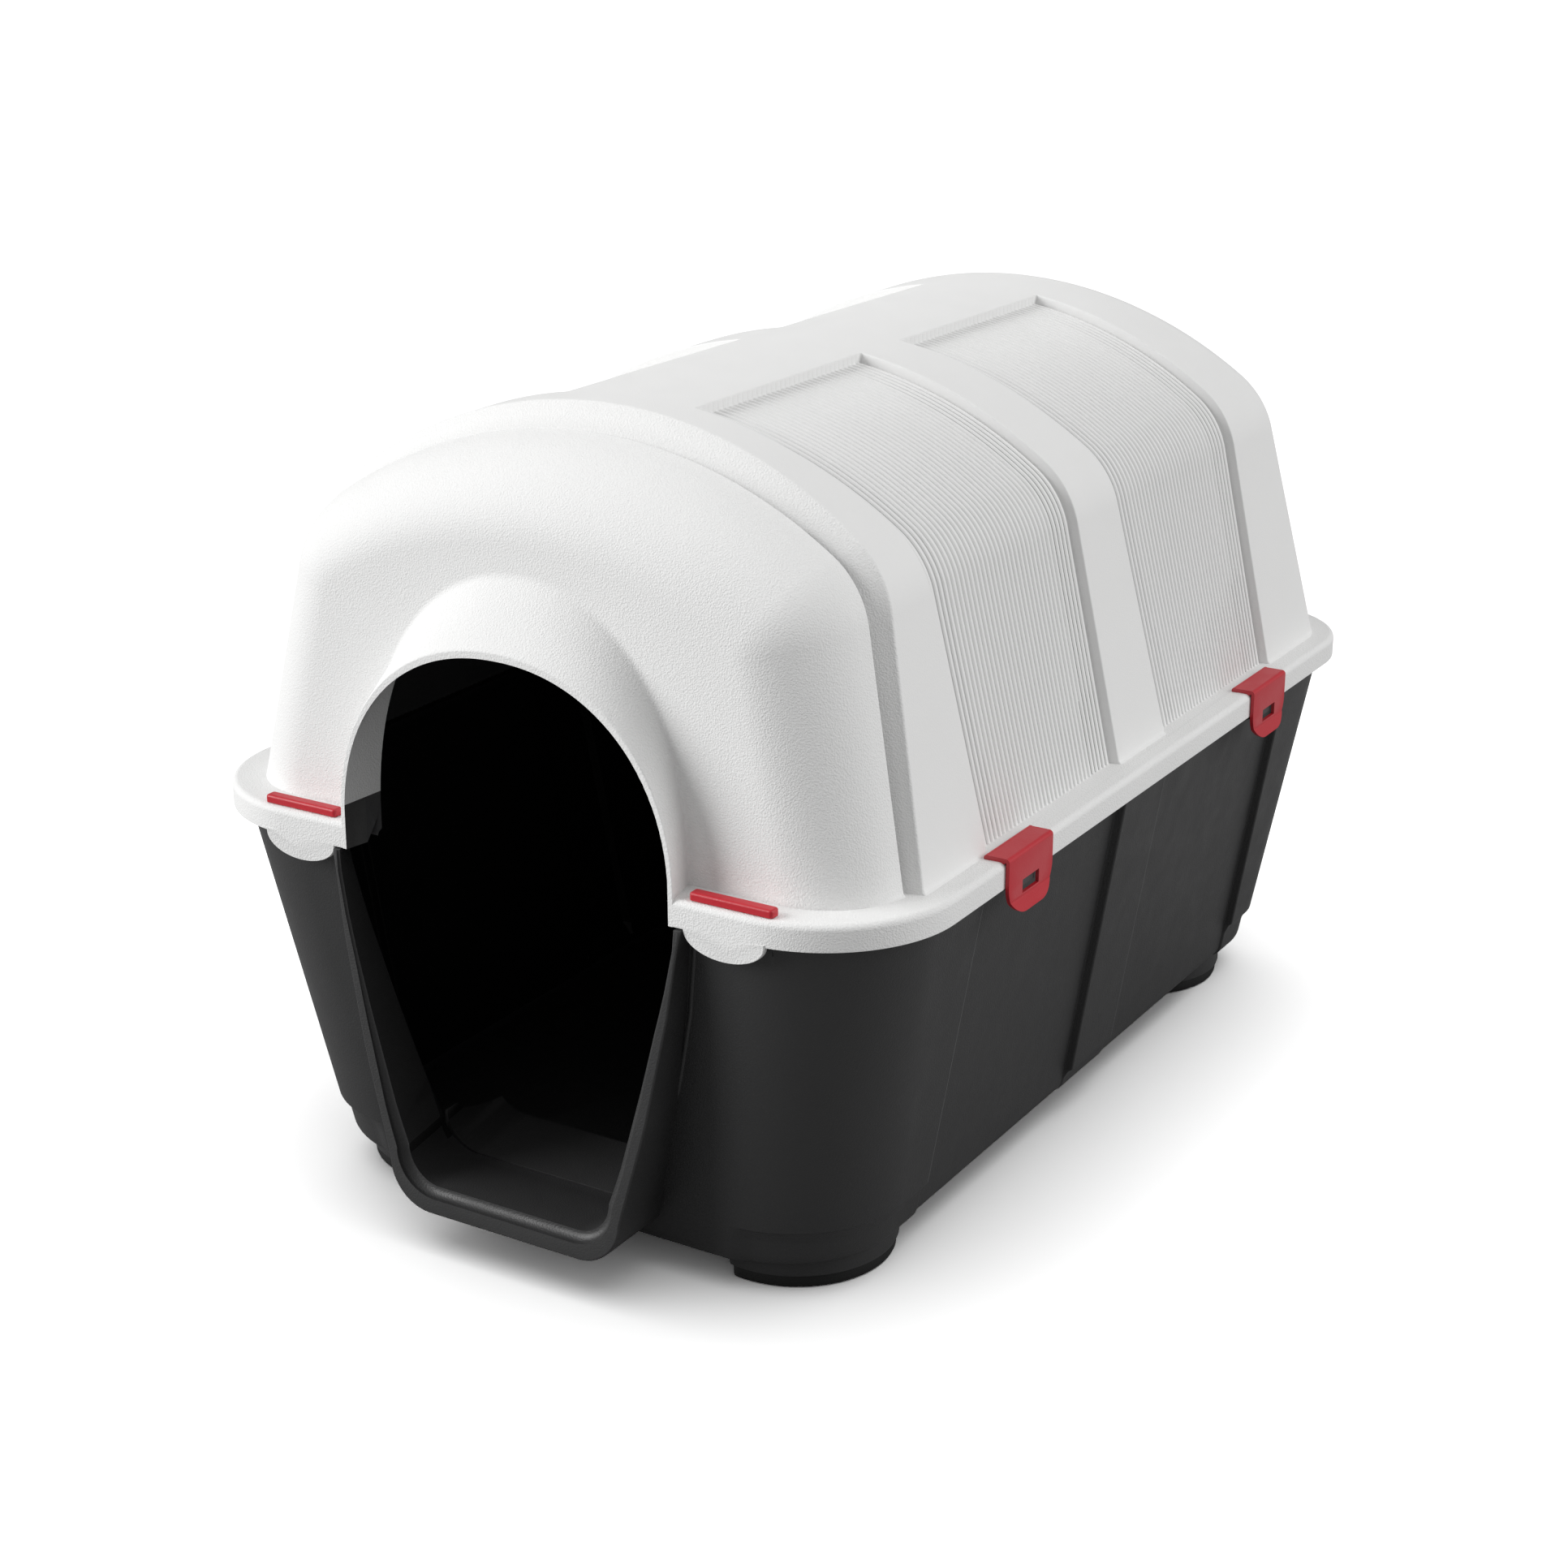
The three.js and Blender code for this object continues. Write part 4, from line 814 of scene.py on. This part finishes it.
def plastic(name, colour, roughness, grain_size, grain_depth, specular=0.5, mottle=0.04, edge_highlight=0.1,
            cavity=0.3):
    """Moulded plastic: fine grain, mottled colour, uneven gloss, painted highlight on convex edges and
    painted shade in hollows.
    """
    material = bpy.data.materials.new(name)
    material.use_nodes = True
    nodes, links = material.node_tree.nodes, material.node_tree.links
    shader = nodes["Principled BSDF"]
    shader.inputs["Specular IOR Level"].default_value = specular
    place = nodes.new("ShaderNodeTexCoord").outputs["Object"]

    def noise(scale, detail, rough=0.5):
        node = nodes.new("ShaderNodeTexNoise")
        node.inputs["Scale"].default_value = scale
        node.inputs["Detail"].default_value = detail
        node.inputs["Roughness"].default_value = rough
        links.new(place, node.inputs["Vector"])
        return node.outputs["Fac"]

    def spread(value, low, high, low_out, high_out):
        node = nodes.new("ShaderNodeMapRange")
        for key, number in zip(("From Min", "From Max", "To Min", "To Max"), (low, high, low_out, high_out)):
            node.inputs[key].default_value = number
        links.new(value, node.inputs["Value"])
        return node.outputs["Result"]

    broad = noise(7.0, 4.0)
    shade = nodes.new("ShaderNodeMix")
    shade.data_type = "RGBA"
    shade.inputs["A"].default_value = (*[c * (1 - mottle) for c in colour], 1)
    shade.inputs["B"].default_value = (*[min(1.0, c * (1 + mottle)) for c in colour], 1)
    links.new(spread(broad, 0.3, 0.7, 0, 1), shade.inputs["Factor"])

    def tinted(base, factor, tint):
        node = nodes.new("ShaderNodeMix")
        node.data_type = "RGBA"
        links.new(factor, node.inputs["Factor"])
        links.new(base, node.inputs["A"])
        node.inputs["B"].default_value = (*tint, 1)
        return node.outputs["Result"]

    curvature = nodes.new("ShaderNodeNewGeometry").outputs["Pointiness"]
    # convex edges, found by pointiness, are lightened: a painted highlight
    edges = spread(curvature, 0.53, 0.62, 0, edge_highlight)
    # hollows and creases, found by pointiness, are darkened towards a quarter of the colour: painted shade
    hollow_shade = spread(curvature, 0.47, 0.38, 0, cavity)
    shaded = tinted(shade.outputs["Result"], hollow_shade, [c * 0.25 for c in colour])
    # the lighter colour that the painted edge highlight mixes towards
    light = [c + (1 - c) * 0.35 for c in colour]
    links.new(tinted(shaded, edges, light), shader.inputs["Base Color"])

    cells = nodes.new("ShaderNodeTexVoronoi")
    cells.feature = "F1"
    cells.inputs["Scale"].default_value = 1 / grain_size
    links.new(place, cells.inputs["Vector"])
    fine = noise(1 / (grain_size * 0.7), 2.0)
    height = nodes.new("ShaderNodeMath")
    height.operation = "ADD"
    links.new(cells.outputs["Distance"], height.inputs[0])
    links.new(fine, height.inputs[1])
    bump = nodes.new("ShaderNodeBump")
    bump.inputs["Strength"].default_value = 1.0
    bump.inputs["Distance"].default_value = grain_depth
    links.new(height.outputs["Value"], bump.inputs["Height"])
    links.new(bump.outputs["Normal"], shader.inputs["Normal"])
    gloss = spread(noise(40.0, 5.0, 0.6), 0.3, 0.7, roughness - 0.05, roughness + 0.06)
    links.new(gloss, shader.inputs["Roughness"])
    return material


roof_plastic = plastic("roof_plastic", (0.84, 0.84, 0.835), 0.60, 0.0013, 0.00024, 0.25, mottle=0.012)
roof_smooth = plastic("roof_smooth", (0.84, 0.84, 0.835), 0.52, 0.0011, 0.00007, 0.25, mottle=0.01, cavity=0)
crevice_shade = plastic("crevice_shade", (0.20, 0.20, 0.20), 0.62, 0.0013, 0.00012, 0.2, mottle=0.01)
# the roof's white at about half its colour: painted shade in the middle of each rib's valley
rib_valley_shade = plastic("rib_valley_shade", (0.48, 0.48, 0.477), 0.62, 0.0011, 0.00007, 0.2, mottle=0.01, cavity=0)
# the roof's white plastic painted near black inside the hood and inside the roof: painted shade
hood_inside_shade = plastic("hood_inside_shade", (0.06, 0.06, 0.06), 0.60, 0.0017, 0.00012, 0.3, mottle=0.02)
roof_inside_shade = plastic("roof_inside_shade", (0.05, 0.05, 0.052), 0.65, 0.0017, 0.00012, 0.3, mottle=0.03)
tub_plastic = plastic("tub_plastic", (0.025, 0.025, 0.0255), 0.46, 0.0013, 0.00012, mottle=0.06)
# a lighter charcoal on the fields' rounded front edges: a painted highlight
tub_edge_highlight = plastic("tub_edge_highlight", (0.15, 0.15, 0.151), 0.42, 0.0013, 0.00005, mottle=0.06)
# near black for the doorway's inside and the key pockets: painted shade
tub_shade = plastic("tub_shade", (0.007, 0.007, 0.007), 0.62, 0.0013, 0.00012, 0.2, mottle=0.06)
clip_plastic = plastic("clip_plastic", (0.50, 0.012, 0.024), 0.40, 0.0012, 0.00005, mottle=0.03)
foot_rubber = plastic("foot_rubber", (0.008, 0.008, 0.008), 0.72, 0.0016, 0.00012, specular=0.3, mottle=0.08)

# ---------------------------------------------------------------- assembly


def dress(piece, body, nodes, material):
    piece.data.materials.clear()
    piece.data.materials.append(material)
    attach(piece, body)
    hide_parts(*nodes)


HIDDEN_DEPTH = 60.0  # behind the flange's front edge, how far the skirt's inner faces get painted shade
POCKET_REACH = 205.0  # from the middle of the house to beyond a key's pocket
COLLAR_SHADE = 11.0  # the doorway gets painted shade from here back, behind the collar's front

roof, lining = make_roof()
dress(roof, "roof", ["roof_shell"], roof_plastic)
for material in (roof_smooth, hood_inside_shade, roof_inside_shade, rib_valley_shade, crevice_shade):
    roof.data.materials.append(material)
index = np.zeros(len(roof.data.polygons), np.int32)
for face in roof.data.polygons:
    x, y, z = face.center / MM
    lean = min(max((z - FLANGE_TOP) / ARCH["rise"], 0), 1)
    band = FLANGE_FRONT + BAND_EDGE[0] + (BAND_EDGE[1] - BAND_EDGE[0]) * lean
    dome_lean = min(max((z - FLANGE_TOP) / DOME["rise"], 0), 1)
    crevice = y - FLANGE_FRONT - DOME_BACK[0] - (DOME_BACK[1] - DOME_BACK[0]) * dome_lean
    behind = y - FLANGE_FRONT
    straight = abs(x) < FLANGE_HALF - FLANGE_FRONT_RADIUS
    # faces cut by the cavity, and the skirt's inner faces near the front, get painted shade: 2 inside the
    # hood, 3 further in
    if lining.find_nearest(face.center)[3] < LINING_REACH * MM:
        index[face.index] = 2 if y < FLANGE_FRONT + HOOD_DEPTH + ROOF_WALL else 3
    elif z < FLANGE_TOP - 0.3 and FLANGE_THICKNESS - 0.1 < behind < HIDDEN_DEPTH and straight:
        index[face.index] = 3
    # faces in the crevice, up to CREVICE_DARK_TOP, get painted shade
    elif 0.2 - CREVICE["width"] < crevice < 0 and FLANGE_TOP + 3 < z < FLANGE_TOP + CREVICE_DARK_TOP:
        index[face.index] = 5
    # behind the band's front edge: the smoother plastic, with painted shade in the middle of each rib's
    # valley
    elif z > FLANGE_TOP + 0.1 and y > band + 1:
        place = rib_place(x, y, z)
        index[face.index] = 4 if place is not None and place < RIB_SHADE else 1
roof.data.polygons.foreach_set("material_index", index)
smooth(roof)

tub, shaded = make_tub()
dress(tub, "base", ["base_tub"], tub_plastic)
tub.data.materials.append(tub_edge_highlight)
tub.data.materials.append(tub_shade)
index = np.zeros(len(tub.data.polygons), np.int32)
for face in tub.data.polygons:
    x, y, z = face.center / MM
    inner = min(tree.find_nearest(face.center)[3] for tree in shaded) < LINING_REACH * MM
    by_pocket = z > SLOT_BOTTOM - KEY["pocket_floor"] - 1 and abs(x) < POCKET_REACH
    behind_wall = tub_front(z) + TUB["wall"] - 0.2 < y < KEY_BLADE_REAR + 6
    shade = inner and y > collar_front(z) + COLLAR_SHADE and face.normal.z < 0.6
    # the doorway's inside and the key pockets behind the front wall get painted shade
    if shade or (by_pocket and behind_wall):
        index[face.index] = 2
    # the fields' rounded front edges get the painted highlight
    elif on_field_edge(x, y, z):
        index[face.index] = 1
tub.data.polygons.foreach_set("material_index", index)
smooth(tub)

for side, word in ((1, "right"), (-1, "left")):
    for y, end in zip(CLIP_PLACES, ("front", "rear")):
        clip = make_clip(f"clip_{word}_{end}_dressed", side, y)
        dress(clip, f"clip_{word}_{end}", [f"side_clip_{word}_{end}"], clip_plastic)
        smooth(clip)
    key = make_key(f"key_{word}_dressed", side)
    dress(key, f"key_{word}", [f"door_key_{word}"], clip_plastic)
    smooth(key)
    for end, (x, y) in FOOT_PLACES.items():
        pad = make_pad(f"pad_{word}_{end}_dressed", side * x, y)
        dress(pad, "base", [f"foot_pad_{word}_{end}"], foot_rubber)
        smooth(pad)

# ---------------------------------------------------------------- stage


FLOOR_HALF = 40000
PAPER = 0.68  # the floor's colour for the light that it reflects
PAPER_SEEN = 3.1  # and as the camera sees it, so that it turns white away from the shadow
WORLD_LEVEL = 0.27


def make_stage():
    """White floor and world. Returns the collection that keeps lamps from lighting the floor."""
    far = FLOOR_HALF
    floor = add_object("floor", [(-far, -far, 0), (far, -far, 0), (far, far, 0), (-far, far, 0)],
                       [(0, 1, 2, 3)])
    material = bpy.data.materials.new("paper")
    material.use_nodes = True
    nodes, links = material.node_tree.nodes, material.node_tree.links
    nodes.clear()
    out = nodes.new("ShaderNodeOutputMaterial")
    diffuse = nodes.new("ShaderNodeBsdfDiffuse")
    rays = nodes.new("ShaderNodeLightPath")
    shade = nodes.new("ShaderNodeMix")
    shade.data_type = "RGBA"
    shade.inputs["A"].default_value = (PAPER, PAPER, PAPER, 1)
    shade.inputs["B"].default_value = (PAPER_SEEN, PAPER_SEEN, PAPER_SEEN, 1)
    links.new(rays.outputs["Is Camera Ray"], shade.inputs["Factor"])
    links.new(shade.outputs["Result"], diffuse.inputs["Color"])
    links.new(diffuse.outputs["BSDF"], out.inputs["Surface"])
    floor.data.materials.append(material)
    unlit = bpy.data.collections.new("unlit")
    unlit.objects.link(floor)
    unlit.collection_objects[0].light_linking.link_state = "EXCLUDE"

    world = bpy.data.worlds.new("studio")
    bpy.context.scene.world = world
    world.use_nodes = True
    nodes, links = world.node_tree.nodes, world.node_tree.links
    background = nodes["Background"]
    rays = nodes.new("ShaderNodeLightPath")
    level = nodes.new("ShaderNodeMapRange")
    level.inputs["To Min"].default_value = WORLD_LEVEL
    level.inputs["To Max"].default_value = 1.0
    links.new(rays.outputs["Is Camera Ray"], level.inputs["Value"])
    background.inputs["Color"].default_value = (1, 1, 1, 1)
    links.new(level.outputs["Result"], background.inputs["Strength"])
    return unlit


def add_sun(name, towards, strength, angle, receivers=None):
    light = bpy.data.lights.new(name, "SUN")
    light.energy = strength
    light.angle = math.radians(angle)
    lamp = bpy.data.objects.new(name, light)
    lamp.rotation_euler = Vector(towards).to_track_quat("-Z", "Y").to_euler()
    lamp.light_linking.receiver_collection = receivers
    bpy.context.scene.collection.objects.link(lamp)


# the two low suns leave the floor out, so that its shadow stays short as in the photo
unlit = make_stage()
add_sun("key", (0.73, 0.57, -0.375), 2.85, 40, unlit)
add_sun("rim", (-0.82, -0.38, -0.42), 1.5, 40, unlit)
add_sun("top", (0, 0.05, -1.0), 0.68, 70)

camera_data = bpy.data.cameras.new("camera")
camera_data.lens = 63.57
camera_data.sensor_width = 36
camera_data.clip_end = 200
camera = bpy.data.objects.new("camera", camera_data)
camera.location = (1.0217, -1.7392, 0.9513)
camera.rotation_euler = (math.radians(70.27), 0, math.radians(31.19))
bpy.context.scene.collection.objects.link(camera)
bpy.context.scene.camera = camera
bpy.context.scene.view_settings.view_transform = "Standard"
